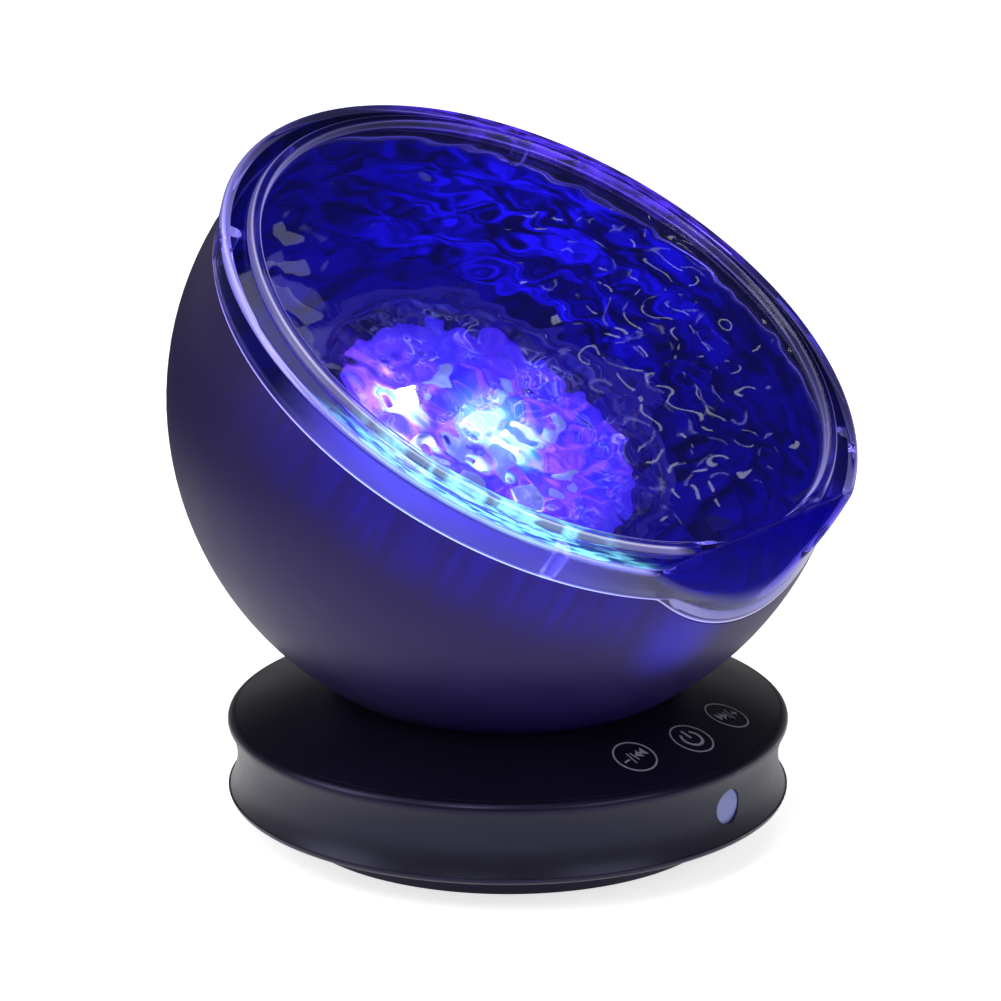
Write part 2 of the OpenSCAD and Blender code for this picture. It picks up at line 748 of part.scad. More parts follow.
module base_bottom() color("#1d1d21") difference() {
    low_r = bottom_d / 2;
    high_r = low_r + bottom_lean;
    union() {
        rotate_extrude() difference() {
            union() {
                polygon([[0, bottom_z], [low_r, bottom_z], [high_r, lip_z], [base_r - lip_h, lip_z],
                    [base_r - lip_h, band_z], [0, band_z]]);
                translate([base_r - lip_h, lip_z]) intersection() {
                    translate([0, lip_h]) circle(r = lip_h);
                    square(lip_h);
                }
            }
            polygon([[0, floor_z], [low_r - base_wall, floor_z], [high_r - base_wall, lip_z],
                [high_r - base_wall, band_z + 1], [0, band_z + 1]]);
        }
        // Pillars for the main board, wells for the case screws
        around(3, board_screw_r, board_screw_turn) translate([0, 0, floor_z - lap])
            cylinder(r = boss_r - lap, h = board_lift + lap);
        around(4, base_screw_r, base_screw_turn) translate([0, 0, floor_z - lap])
            cylinder(r = base_boss_r, h = well_h + lap);
    }
    around(4, base_screw_r, base_screw_turn) {
        translate([0, 0, bottom_z - 1]) cylinder(d = screw_d + 2 * play, h = base_wall + well_h + 2);
        translate([0, 0, bottom_z - 1]) cylinder(r = screw_head_r + play, h = well_h + 1);
    }
    around(foot_count, foot_r, foot_turn) translate([0, 0, bottom_z - 1])
        cylinder(d = foot_d + 2 * shaft_play, h = foot_sunk + 1);
    around(3, board_screw_r, board_screw_turn) translate([0, 0, board_z - screw_bite])
        cylinder(d = small_screw_d, h = screw_bite + 1);
}

module rubber_feet() color("#0f0f10") around(foot_count, foot_r, foot_turn)
    cylinder(d = foot_d, h = foot_h + foot_sunk);

module base_screws() color("#9a9aa0") around(4, base_screw_r, base_screw_turn)
    translate([0, 0, bottom_z + well_h]) rotate([180, 0, 0])
        screw(screw_d, base_wall + screw_bite - screw_spare, screw_head_r, screw_head_h);

module main_board() color("#1f5a38") translate([0, 0, board_z]) difference() {
    cylinder(r = board_r, h = board_t);
    around(4, base_screw_r, base_screw_turn) translate([0, 0, -1])
        cylinder(r = base_boss_r + play, h = board_t + 2);
    around(3, board_screw_r, board_screw_turn) translate([0, 0, -1])
        cylinder(d = small_screw_d + 2 * play, h = board_t + 2);
}

module board_screws() color("#9a9aa0") around(3, board_screw_r, board_screw_turn)
    translate([0, 0, board_top])
    screw(small_screw_d, board_t + screw_bite - 1, small_head_r, small_head_h);

module board_chips() color("#2c2c30") translate([0, 0, board_top]) {
    translate(chip_at) cube(chip_size);
    translate(driver_at) cube(driver_size);
    translate(capacitor_at) cylinder(d = capacitor_d, h = capacitor_h);
}

// Round contacts that lie against the underside of the dome
module touch_pads() color("#b08d57") {
    under = dome_r - base_wall - shaft_play;
    for (i = [-1 : 1]) rotate(-90 + i * touch_step) difference() {
        intersection() {
            translate([0, 0, dome_z]) sphere(r = under, $fn = fine);
            translate([touch_r, 0, seam_z]) cylinder(d = touch_d, h = far / 4);
        }
        translate([0, 0, dome_z]) sphere(r = under - pad_t, $fn = fine);
    }
}

module ir_window() color("#9fb2e6") translate([0, -band_in, window_z]) rotate([90, 0, 0])
    cylinder(d = window_d, h = base_wall - seam_gap - window_recess);

module ir_receiver() color("#17171a") translate([-receiver_w / 2, receiver_room - band_in, board_top])
    cube([receiver_w, receiver_t, window_z - board_top + receiver_w / 2]);

// A jack on the board, with its barrel through the band
module jack(side, bore) translate([side * socket_x, 0, 0]) difference() {
    union() {
        translate([-jack_w / 2, jack_back, board_top]) cube([jack_w, jack_front - jack_back, jack_h]);
        translate([0, jack_back + jack_end, socket_z]) rotate([-90, 0, 0])
            cylinder(d = barrel_d, h = mouth_y - jack_back - jack_end);
    }
    translate([0, mouth_y - socket_l, socket_z]) rotate([-90, 0, 0]) cylinder(d = bore, h = socket_l + 1);
}

module power_jack() color("#101012") jack(-1, power_d);

module power_pin() color("#d6c27a") translate([-socket_x, mouth_y - socket_l, socket_z]) rotate([-90, 0, 0])
    cylinder(d = power_pin_d, h = socket_l - 1.5);

module audio_jack() color("#101012") jack(1, audio_d);

head_bowl();
wave_cover();
wave_lens();
light_deck();
deck_screws();
led_board();
led_lamps();
led_reflector();
drive_ring();
ripple_disc();
keeper_ring();
gear_motor();
motor_shaft();
drive_pinion();
motor_screws();
speaker_frame();
speaker_cone();
speaker_magnet();
speaker_screws();
neck_screws();
wire_loom();
base_top();
base_band();
base_bottom();
rubber_feet();
base_screws();
main_board();
board_screws();
board_chips();
touch_pads();
ir_window();
ir_receiver();
power_jack();
power_pin();
audio_jack();
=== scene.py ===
import json
import math

import bmesh
import bpy
import numpy as np
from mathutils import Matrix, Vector


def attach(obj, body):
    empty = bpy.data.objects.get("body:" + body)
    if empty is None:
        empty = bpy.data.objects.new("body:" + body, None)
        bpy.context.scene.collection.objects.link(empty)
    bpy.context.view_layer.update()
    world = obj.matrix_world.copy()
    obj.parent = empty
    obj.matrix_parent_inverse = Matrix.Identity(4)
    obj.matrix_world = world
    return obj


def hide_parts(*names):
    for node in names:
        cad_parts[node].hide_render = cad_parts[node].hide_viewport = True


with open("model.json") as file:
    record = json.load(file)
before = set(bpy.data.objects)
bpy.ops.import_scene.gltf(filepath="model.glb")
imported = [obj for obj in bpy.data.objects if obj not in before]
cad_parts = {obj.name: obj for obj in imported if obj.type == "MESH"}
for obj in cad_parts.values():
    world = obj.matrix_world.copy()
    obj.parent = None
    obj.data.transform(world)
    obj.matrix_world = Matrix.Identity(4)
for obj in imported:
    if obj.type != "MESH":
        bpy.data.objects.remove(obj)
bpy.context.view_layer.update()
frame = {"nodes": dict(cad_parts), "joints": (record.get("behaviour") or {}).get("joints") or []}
nodes = frame["nodes"]
mm = 0.001
print("frame loaded,", len(nodes), "nodes")

# The head's own axes come from the joint of the turning disc: its point is the ball's centre,
# its axis is the slanted way up, and the front of the head is -Y.
spin = next(joint for joint in frame["joints"] if joint["name"] == "disc_spin")
ballCentre = Vector(spin["pos_m"])
headUp = Vector(spin["axis"])
slant = math.atan2(-headUp.y, headUp.z)

photo = {
    "distance": 1.259,            # metres from the camera to the point it looks at
    "elevation": 17.58,           # degrees above level
    "heading": (-0.792, -0.610),  # where the camera stands, seen from above
    "aimHeight": 0.0755,
    "aimSide": -0.00165,          # metres to the camera's right
    "lens": 204.9,                # millimetres, as is the sensor
    "sensor": 36,
    "nearest": 0.05,
}


# places the camera on its line of sight, with the object a little off the middle as in the picture
def addCamera(spec):
    level = Vector((*spec["heading"], 0)).normalized()
    rise = math.radians(spec["elevation"])
    back = level * math.cos(rise) + Vector((0, 0, math.sin(rise)))
    right = Vector((-level.y, level.x, 0))
    aim = Vector((0, 0, spec["aimHeight"])) + right * spec["aimSide"]
    data = bpy.data.cameras.new("photoCamera")
    data.lens = spec["lens"]
    data.sensor_width = spec["sensor"]
    data.clip_start = spec["nearest"]
    camera = bpy.data.objects.new("photoCamera", data)
    camera.location = aim + back * spec["distance"]
    camera.rotation_euler = (-back).to_track_quat("-Z", "Y").to_euler()
    bpy.context.collection.objects.link(camera)
    bpy.context.scene.camera = camera


addCamera(photo)
print("camera placed")


# head millimetres to world metres: turn about X by the slant, then move to the ball's centre
def fromHead(points):
    x, y, z = points[..., 0], points[..., 1], points[..., 2]
    turned = np.stack([
        x,
        y * math.cos(slant) - z * math.sin(slant),
        y * math.sin(slant) + z * math.cos(slant),
    ], axis=-1)
    return turned * mm + np.array(ballCentre)


weld = {"merge": 2e-7, "collapse": 1e-7}  # metres


# a grid of points becomes a closed skin: neighbours make quads, collapsed edges are merged,
# and the faces are turned outwards if the enclosed volume comes out negative
def skin(name, grid, body, closeV=True, sharp=35, marks=None):
    count = grid.shape[0] * grid.shape[1]
    ids = np.arange(count).reshape(grid.shape[:2])
    ids = np.vstack([ids, ids[:1]])
    if closeV:
        ids = np.hstack([ids, ids[:, :1]])
    quads = np.stack([ids[:-1, :-1], ids[1:, :-1], ids[1:, 1:], ids[:-1, 1:]], axis=-1).reshape(-1, 4)
    corners = grid.reshape(-1, 3)
    a, b, c, d = (corners[quads[:, k]] for k in range(4))
    volume = np.einsum("ij,ij->", a, np.cross(b, c)) + np.einsum("ij,ij->", a, np.cross(c, d))
    if volume < 0:
        quads = quads[:, ::-1]
    mesh = bpy.data.meshes.new(name)
    mesh.from_pydata(corners.tolist(), [], quads.tolist())
    for key, values in (marks or {}).items():
        layer = mesh.attributes.new(key, "FLOAT", "POINT")
        layer.data.foreach_set("value", values.ravel().astype(np.float32))
    soft = bmesh.new()
    soft.from_mesh(mesh)
    bmesh.ops.remove_doubles(soft, verts=soft.verts, dist=weld["merge"])
    bmesh.ops.dissolve_degenerate(soft, edges=soft.edges, dist=weld["collapse"])
    soft.to_mesh(mesh)
    soft.free()
    mesh.shade_smooth()
    mesh.set_sharp_from_angle(angle=math.radians(sharp))
    piece = bpy.data.objects.new(name, mesh)
    bpy.context.collection.objects.link(piece)
    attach(piece, body)
    return piece


# points on an arc: centre plus radius times (cos, sin)
def arc(centreR, centreZ, radius, start, end, count):
    turn = np.radians(np.linspace(start, end, count))
    return np.stack([centreR + radius * np.cos(turn), centreZ + radius * np.sin(turn)], axis=-1)


coverSizes = {  # millimetres along the slanted axis, degrees, and counts of points
    "ball": 75, "rimH": 10.5, "topZ": 20, "flare": 1.9, "wall": 2.2, "edgeRound": 1.4, "chamfer": 0.3,
    "seat": 0.12, "skirtLap": 0.5,
    "ribInset": 6.2, "ribW": 2.3, "ribH": 1.8, "ribRound": 0.6, "ribFoot": 0.5, "ribDraft": 0.08,
    "facetTilt": 57.2, "facetDepth": 8.2, "cutTilt": 50.6, "cutDepth": 16.2,
    "softCrease": 2.6, "softWithin": 60, "crease": 0.7, "crispFrom": 69,
    "pegR": 73.0, "pegD": 3.6, "pegAngles": (45, 135, 225, 315), "pegSpread": 1.15, "pegSteps": 25,
    "flatGap": 0.3, "stillEdge": 4, "sameTurn": 2e-5,
    "around": 440, "skirtSteps": 16, "windowRings": 74, "flatSteps": 8,
    # how the marks for the finish and for the painted light fade, and the painted light on the pegs
    "facetFade": 1.5, "facetSoft": 2, "facetEarly": 0.3, "laneFade": 1, "laneDepth": 0.1, "pegLight": 0.25,
}
coverSizes["rimR"] = math.sqrt(coverSizes["ball"] ** 2 - coverSizes["rimH"] ** 2)
coverSizes["edgeR"] = coverSizes["rimR"] + coverSizes["flare"]
coverSizes["ribR"] = coverSizes["edgeR"] - coverSizes["ribInset"]
coverSizes["facetDist"] = coverSizes["ball"] - coverSizes["facetDepth"]
coverSizes["cutDist"] = coverSizes["ball"] - coverSizes["cutDepth"]


lensRipples = {"seed": 4, "trains": 9, "pitch": 14, "height": 0.065, "stretch": 2.3, "calm": 0.32}
discRipples = {"seed": 11, "trains": 8, "pitch": 7.0, "height": 0.2, "stretch": 1.0, "calm": 1}
waterHabits = {"pitches": (0.75, 1.9), "bend": 0.32, "bendPitch": 2.3, "phase": 6.3, "calmSpan": (-30, 30)}


# wave trains added up: height = sum of sin(2 pi (along + bend) / pitch), where each crest line is bent
# by a slower wave across it. Towards -X the water calms down to the given share.
def waterHeight(x, y, spec):
    dice = np.random.default_rng(spec["seed"])
    stretched = y * spec["stretch"]
    total = np.zeros_like(x)
    for train in range(spec["trains"]):
        way = dice.uniform(0, 2 * math.pi)
        pitch = spec["pitch"] * dice.uniform(*waterHabits["pitches"])
        along = x * math.cos(way) + stretched * math.sin(way)
        across = -x * math.sin(way) + stretched * math.cos(way)
        sway = 2 * math.pi * across / (waterHabits["bendPitch"] * pitch)
        bend = waterHabits["bend"] * pitch * np.sin(sway + dice.uniform(0, waterHabits["phase"]))
        beat = 2 * math.pi * (along + bend) / pitch
        total += np.sin(beat + dice.uniform(0, waterHabits["phase"])) * pitch / spec["pitch"]
    rough = np.interp(x, waterHabits["calmSpan"], (spec["calm"], 1))
    return total * rough * spec["height"] / math.sqrt(spec["trains"])


# the clear cover is one closed section carried round the axis.
# section: up the flared skirt, over the rounded edge, over the rib, across the rippled window to the
# axis, back under the top and down the inside of the skirt. Then the front facet presses every point
# beyond its plane back along the plane's normal: press = (d + k)^2 / 4k between -k and k, where the
# crease k is soft at the window and crisp at the rib and the skirt.
def clearCover(size, ripples):
    lean = math.radians(size["facetTilt"])
    normalFront, normalUp = math.sin(lean), math.cos(lean)
    fine = np.linspace(-1, 1, size["pegSteps"]) * size["pegSpread"] * size["pegD"] / 2 / size["pegR"]
    pegs = np.radians(np.array(size["pegAngles"])) + math.pi / 2
    turn = np.linspace(0, 2 * math.pi, size["around"], endpoint=False)
    turn = np.sort(np.concatenate([turn, (pegs[:, None] + fine[None, :]).ravel() % (2 * math.pi)]))
    turn = turn[np.diff(turn, prepend=-1) > size["sameTurn"]][:, None]
    front = np.cos(turn)

    # lower edge of a ball-shaped wall: the rim's plane, or the slanted cut at the front where that is lower
    def lowerEdge(radius):
        ahead = math.sin(math.radians(size["cutTilt"])) * front
        rise = math.cos(math.radians(size["cutTilt"]))
        reach = size["cutDist"] / (radius * np.hypot(ahead, rise))
        height = radius * np.sin(np.arctan2(rise, ahead) - np.arccos(np.clip(reach, -1, 1)))
        height = np.where(reach < 1, height, size["rimH"])
        return np.minimum(height, size["rimH"]) + size["seat"]

    # outside of the skirt: the ball up to just under the rim, then a straight flare
    def skirtRadius(height, inset):
        leave = size["rimH"] - size["skirtLap"]
        start = math.sqrt(size["ball"] ** 2 - leave ** 2)
        slope = (size["edgeR"] - start) / (size["topZ"] - size["edgeRound"] - leave)
        ball = np.sqrt(size["ball"] ** 2 - np.minimum(height, leave) ** 2)
        return np.where(height < leave, ball, start + slope * (height - leave)) - inset

    steps = np.linspace(0, 1, size["skirtSteps"])[None, :]
    chamfer = size["chamfer"]
    low = lowerEdge(size["ball"])
    outZ = low + chamfer + steps * (size["topZ"] - size["edgeRound"] - low - chamfer)
    outR = skirtRadius(outZ, 0)
    lowIn = lowerEdge(size["ball"] - size["wall"])
    inZ = lowIn + chamfer + steps[:, ::-1] * (size["topZ"] - size["wall"] - lowIn - chamfer)
    inR = skirtRadius(inZ, size["wall"])
    # half-round pegs stand on the inside of the wall
    offPeg = np.abs((turn - pegs[None, :] + math.pi) % (2 * math.pi) - math.pi)
    away = offPeg.min(axis=1)[:, None] * size["pegR"]
    bulge = np.sqrt(np.maximum(0, (size["pegD"] / 2) ** 2 - away ** 2))
    inR = np.where(bulge > 0, np.minimum(inR, size["pegR"] - bulge), inR)

    top, under = size["topZ"], size["topZ"] - size["wall"]
    ribTop = top + size["ribH"]
    ribOut, ribIn = size["ribR"], size["ribR"] - size["ribW"]
    crest, foot, edge = size["ribRound"], size["ribFoot"], size["edgeRound"]
    outFoot, inFoot = ribOut + size["ribDraft"] + foot, ribIn - size["ribDraft"] - foot
    shelf = (size["edgeR"] - edge - size["flatGap"], outFoot + size["flatGap"])
    pane = inFoot - size["flatGap"]
    flat = size["flatSteps"]
    dim = (0, 0, 0)
    # the light listed for each stretch is painted light leaving the edges of the clear wall
    stretches = [  # points, light that leaves at the start, middle and end, and 1 where it is the window
        (arc(size["edgeR"] - edge, top - edge, edge, 8, 90, 10), (0, 0.8, 0), 0),
        (np.linspace((shelf[0], top), (shelf[1], top), flat), dim, 0),
        (arc(outFoot, top + foot, foot, 270, 180, 6), (0, 0.4, 0.5), 0),
        (arc(ribOut - crest, ribTop - crest, crest, 0, 90, 8), (0.5, 1, 0.1), 0),
        (arc(ribIn + crest, ribTop - crest, crest, 90, 180, 8), (0.1, 0.9, 0.6), 0),
        (arc(inFoot, top + foot, foot, 0, -90, 6), (0.6, 0.7, 0), 0),
        (np.linspace((pane, top), (0, top), size["windowRings"]), dim, 1),
        (np.linspace((0, under), (pane, under), flat), dim, 1),
    ]
    section = np.concatenate([points for points, light, window in stretches])
    leaves = np.concatenate([
        np.interp(np.linspace(0, 1, len(points)), [0, 0.5, 1], light)
        for points, light, window in stretches])
    isWindow = np.concatenate([np.full(len(points), float(window)) for points, light, window in stretches])
    isUnder = np.concatenate([np.zeros(len(section) - flat), np.ones(flat)])
    topR = np.broadcast_to(section[None, :, 0], (len(turn), len(section)))
    topZ = np.broadcast_to(section[None, :, 1], (len(turn), len(section)))
    moved = np.clip((pane - topR) / size["stillEdge"], 0, 1) * isWindow * (1 - isUnder)
    topZ = topZ + moved * waterHeight(topR * np.sin(turn), -topR * front, ripples)
    # the rib ends where the facet cuts it
    plane = (size["facetDist"] - normalFront * topR * front) / normalUp
    topZ = np.where((topZ > top) & (topR > pane), np.minimum(topZ, np.maximum(top, plane)), topZ)

    radius = np.hstack([outR[:, :1] - chamfer, outR, topR, inR, inR[:, -1:] + chamfer])
    height = np.hstack([low, outZ, topZ, inZ, lowIn])
    inner = np.concatenate([np.zeros(1 + outR.shape[1]), isUnder, np.ones(inR.shape[1] + 1)])
    beyond = normalFront * radius * front + normalUp * height - size["facetDist"] + inner * size["wall"]
    crease = np.interp(
        radius, [size["softWithin"], size["crispFrom"]], [size["softCrease"], size["crease"]])
    press = np.where(beyond > crease, beyond, np.maximum(0, beyond + crease) ** 2 / (4 * crease))
    points = np.stack([
        radius * np.sin(turn),
        -radius * front + normalFront * press,
        height - normalUp * press,
    ], axis=-1)

    # marks for the finish and the painted light: where painted light leaves at an edge, where the wall is
    # frosted, the flat between rib and edge where painted streaks lie, the window, and the facet
    free = np.clip(-beyond / size["facetFade"], 0, 1)
    skirt = np.ones(outR.shape[1])
    rows = np.ones_like(turn)
    edges = np.concatenate([[1], [1], 0 * skirt[1:], leaves, 0 * skirt, [1]])[None, :] * rows
    # painted light on the pegs
    edges[:, -inR.shape[1] - 1:-1] = np.where(bulge > 0, size["pegLight"], 0)
    frost = np.concatenate([[1], skirt, 0 * leaves, skirt, [1]])[None, :] * rows
    window = np.concatenate([[0], 0 * skirt, isWindow, 0 * skirt, [0]])[None, :] * rows
    laneEnds = [ribIn - size["laneFade"], ribIn, size["edgeR"] - size["laneFade"], size["edgeR"]]
    lane = np.interp(radius, laneEnds, [0, 1, 1, 0]) * (height > top - size["laneDepth"])
    facet = np.clip(beyond / size["facetSoft"] + size["facetEarly"], 0, 1)
    marks = {
        "edge": edges * free, "frost": frost * free, "lane": lane * free, "window": window, "facet": facet}
    return fromHead(points), marks


coverGrid, coverMarks = clearCover(coverSizes, lensRipples)
cover = skin("clearCover", coverGrid, "root", sharp=40, marks=coverMarks)
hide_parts("wave_cover", "wave_lens")
print("cover made,", len(cover.data.polygons), "faces")

discSizes = {  # millimetres along the slanted axis, and counts of points
    "radius": 41.25, "under": -9.4, "thick": 1.7, "edge": 0.25, "fade": 3.0,
    "rings": 100, "underRings": 12, "underGather": 0.8, "spokes": 300,
}


# a round plate with a flat underside and a rippled top: rings from the middle of the underside out to
# the edge, up, and back in to the middle of the top. The ripples fade out towards the edge.
def rippledPlate(size, ripples):
    under, top, edge = size["under"], size["under"] + size["thick"], size["edge"]
    flat = size["radius"] - edge
    turn = np.linspace(0, 2 * math.pi, size["spokes"], endpoint=False)[:, None]
    below = np.linspace(0, 1, size["underRings"])[None, :] ** size["underGather"] * flat
    above = np.linspace(1, 0, size["rings"])[None, :] * flat
    r = np.hstack([below, [[size["radius"], size["radius"]]], above])
    z = np.hstack([np.full_like(below, under), [[under + edge, top - edge]], np.full_like(above, top)])
    lift = np.hstack([np.zeros_like(below), [[0, 0]], np.clip((flat - above) / size["fade"], 0, 1)])
    x, y = r * np.cos(turn), r * np.sin(turn)
    soft = lift * lift * (3 - 2 * lift)
    return fromHead(np.stack([x, y, z + soft * waterHeight(x, y, ripples)], axis=-1))


disc = skin("turningDisc", rippledPlate(discSizes, discRipples), "rotor", closeV=False)
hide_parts("ripple_disc")
print("disc made,", len(disc.data.polygons), "faces")

icons = {  # millimetres, and degrees round the base
    "reach": 51.0, "step": 19.2, "turned": -0.7, "ringD": 9.9, "stroke": 0.4, "bold": 0.7, "dash": 0.42,
    "powerR": 2.4, "powerBow": (128, 412), "lift": 0.03, "thick": 0.06, "domeR": 161.0, "domeZ": -121.6,
}


# a flat ribbon along a line of points: each point moved half the width to both sides of the path
def ribbon(path, width):
    path = np.asarray(path, float)
    along = np.gradient(path, axis=0)
    along /= np.linalg.norm(along, axis=1)[:, None]
    side = np.stack([-along[:, 1], along[:, 0]], axis=-1) * width / 2
    return np.stack([path - side, path + side], axis=1)


# the marks of the three touch places, in millimetres from the middle of each ring
def iconMarks(spec):
    stroke = spec["stroke"]
    ring = ribbon(arc(0, 0, (spec["ringD"] - stroke) / 2, 0, 360, 73), stroke)
    power = [ribbon(arc(0, 0, spec["powerR"], *spec["powerBow"], 41), spec["bold"]),
             ribbon([(0, 0.1), (0, 1.5), (0, 2.9)], spec["bold"])]
    bar = ribbon([(0, -1.25), (0, 0), (0, 1.25)], 0.34)
    slash = ribbon([(-0.35, -1.75), (0, 0), (0.35, 1.75)], 0.3)
    minus = ribbon([(-0.85, 0), (0, 0), (0.85, 0)], spec["dash"])
    upright = ribbon([(0, -0.85), (0, 0), (0, 0.85)], spec["dash"])
    arrow = np.array([[(-0.8, -0.02), (-0.8, 0.02)], [(0.8, -1.3), (0.8, 1.3)]])
    back = [minus + (-2.75, 0), slash + (-1.2, 0), bar + (-0.1, 0), arrow + (0.95, 0), arrow + (2.5, 0)]
    ahead = [mark * (-1, 1) for mark in back[2:]]
    ahead += [slash + (1.2, 0), minus + (2.75, 0), upright + (2.75, 0)]
    rows = ((-spec["step"], back), (0, power), (spec["step"], ahead))
    return [(spec["turned"] + angle, [ring] + marks) for angle, marks in rows]


# each mark is laid on the dome of the base top: z = dome centre + sqrt(R^2 - x^2 - y^2)
def touchIcons(spec):
    corners, faces = [], []
    count = 0
    for angle, marks in iconMarks(spec):
        place = np.array([math.sin(math.radians(angle)), -math.cos(math.radians(angle))]) * spec["reach"]
        for mark in marks:
            flat = mark.reshape(-1, 2) + place
            rise = np.sqrt(spec["domeR"] ** 2 - (flat ** 2).sum(axis=1)) + spec["domeZ"] + spec["lift"]
            steps = np.arange(len(mark) - 1)[:, None] * 2 + count
            quads = steps + np.array([[0, 2, 3, 1]])
            a, b, c = flat[0], flat[2], flat[3]
            turned = (b[0] - a[0]) * (c[1] - a[1]) - (b[1] - a[1]) * (c[0] - a[0])
            faces.append(quads if turned > 0 else quads[:, ::-1])
            corners.append(np.column_stack([flat, rise]))
            count += len(flat)
    mesh = bpy.data.meshes.new("touchIcons")
    mesh.from_pydata((np.concatenate(corners) * mm).tolist(), [], np.concatenate(faces).tolist())
    piece = bpy.data.objects.new("touchIcons", mesh)
    bpy.context.collection.objects.link(piece)
    solid = piece.modifiers.new("print", "SOLIDIFY")
    solid.thickness = spec["thick"] * mm
    solid.offset = 1
    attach(piece, "root")
    return piece


iconPiece = touchIcons(icons)
print("icons laid on the base top")


# sRGB hex to linear: c / 12.92 up to 0.04045, else ((c + 0.055) / 1.055) ^ 2.4
def hexColour(text):
    values = [int(text[k:k + 2], 16) / 255 for k in (1, 3, 5)]
    return [v / 12.92 if v <= 0.04045 else ((v + 0.055) / 1.055) ** 2.4 for v in values] + [1]


# sets inputs by name, or in their order: a socket is linked, a hex colour made linear, the rest set as it is
def feed(tree, node, inputs):
    for key, value in inputs.items() if isinstance(inputs, dict) else enumerate(inputs):
        if isinstance(value, bpy.types.NodeSocket):
            tree.links.new(value, node.inputs[key])
        else:
            node.inputs[key].default_value = hexColour(value) if isinstance(value, str) else value


# adds one node with its settings and inputs, and gives back the named output or else the first in use
def addNode(tree, kind, inputs=(), output=None, **settings):
    node = tree.nodes.new("ShaderNode" + kind)
    for key, value in settings.items():
        setattr(node, key, value)
    feed(tree, node, inputs)
    if output:
        return node.outputs[output]
    return next((socket for socket in node.outputs if socket.enabled), None)


# an empty material with its Principled shader linked to the output
def newMaterial(name):
    material = bpy.data.materials.new(name)
    material.use_nodes = True
    tree = material.node_tree
    tree.nodes.clear()
    surface = addNode(tree, "BsdfPrincipled")
    addNode(tree, "OutputMaterial", {"Surface": surface})
    return material, tree, surface.node


# place of a point in the part, in millimetres
def partPlace(tree):
    place = addNode(tree, "TexCoord", output="Object")
    return addNode(tree, "Mapping", {"Vector": place, "Scale": (1 / mm,) * 3})


# place of a point in the head's own axes, in millimetres from the ball's centre
def headPlace(tree):
    place = addNode(tree, "TexCoord", output="Object")
    return addNode(tree, "Mapping", {
        "Vector": place, "Location": ballCentre, "Rotation": (slant, 0, 0), "Scale": (mm,) * 3},
        vector_type="TEXTURE")


# a level by how far a point lies from the axis in one direction: place . way, carried from span to levels
def towards(tree, place, way, span, levels=(0, 1), ease="LINEAR"):
    reach = addNode(tree, "VectorMath", (place, way), operation="DOT_PRODUCT")
    return addNode(tree, "MapRange", (reach, *span, *levels), interpolation_type=ease)


# a level by the distance from a point, carried from span to levels
def around(tree, place, centre, span, levels=(1, 0), ease="LINEAR"):
    gap = addNode(tree, "VectorMath", (place, centre), operation="DISTANCE")
    return addNode(tree, "MapRange", (gap, *span, *levels), interpolation_type=ease)


plasticGrain = {  # patch and relief in millimetres
    "patch": 22.222, "noise": (0.3, 0.7), "gloss": 0.04, "relief": 0.05, "ior": 1.53,
}


# moulded plastic: the grain of a spark-eroded mould dulls the gloss a little, and the gloss varies in
# patches. The grain is drawn coarser than it is, to show in a render.
def mouldedPlastic(name, dark, light, rough, grain, bump, gleam="#ffffff"):
    material, tree, shader = newMaterial(name)
    place = partPlace(tree)
    patches = addNode(tree, "TexNoise", {"Vector": place, "Scale": 1 / plasticGrain["patch"], "Detail": 3})
    sparks = addNode(tree, "TexNoise", {"Vector": place, "Scale": 1 / grain, "Detail": 2})
    duller, glossier = rough + plasticGrain["gloss"], rough - plasticGrain["gloss"]
    feed(tree, shader, {
        "Base Color": addNode(tree, "Mix", {"Factor": patches, "A": dark, "B": light}, data_type="RGBA"),
        "Roughness": addNode(tree, "MapRange", (patches, *plasticGrain["noise"], glossier, duller)),
        "Normal": addNode(tree, "Bump", {
            "Height": sparks, "Strength": bump, "Distance": plasticGrain["relief"] * mm}),
        "IOR": plasticGrain["ior"],
        "Specular Tint": gleam,
    })
    return material, tree, shader


lamps = {
    "boardZ": -16.4, "deckTop": -18, "deckUnder": -20.5,  # millimetres along the slanted axis
    # place of each lit lamp across the axis, and its share of the reach
    "lit": (
        (7.1, -1.1, 1.5), (-10.3, 16.8, 1.05), (-19.2, 4.6, 0.8), (-16.8, -10.3, 0.45), (-4.6, -19.2, 0.45)),
    # colours and reach of the painted light round the lamps, and of the painted bloom on the disc
    "halo": "#58c8ff", "wash": "#1c08e0", "lilac": "#9448ff", "pink": "#ec86ff", "washReach": 30,
    "bloom": "#58d4ff",
    "epoxy": "#c8d8ff", "rough": 0.2, "core": "#d8f6ff", "coreReach": 9, "coreSpan": (0.2, 0.5),
    "coreLevels": (0.4, 12),
}


# strength near the lit lamps: the largest of the falloffs, each 1 at its lamp and 0 at the given reach
def nearLamps(tree, head, reach):
    strongest = 0
    for x, y, share in lamps["lit"]:
        fall = around(tree, head, (x, y, lamps["boardZ"]), (0, reach * share), ease="SMOOTHERSTEP")
        strongest = addNode(tree, "Math", (strongest, fall), operation="MAXIMUM")
    return strongest


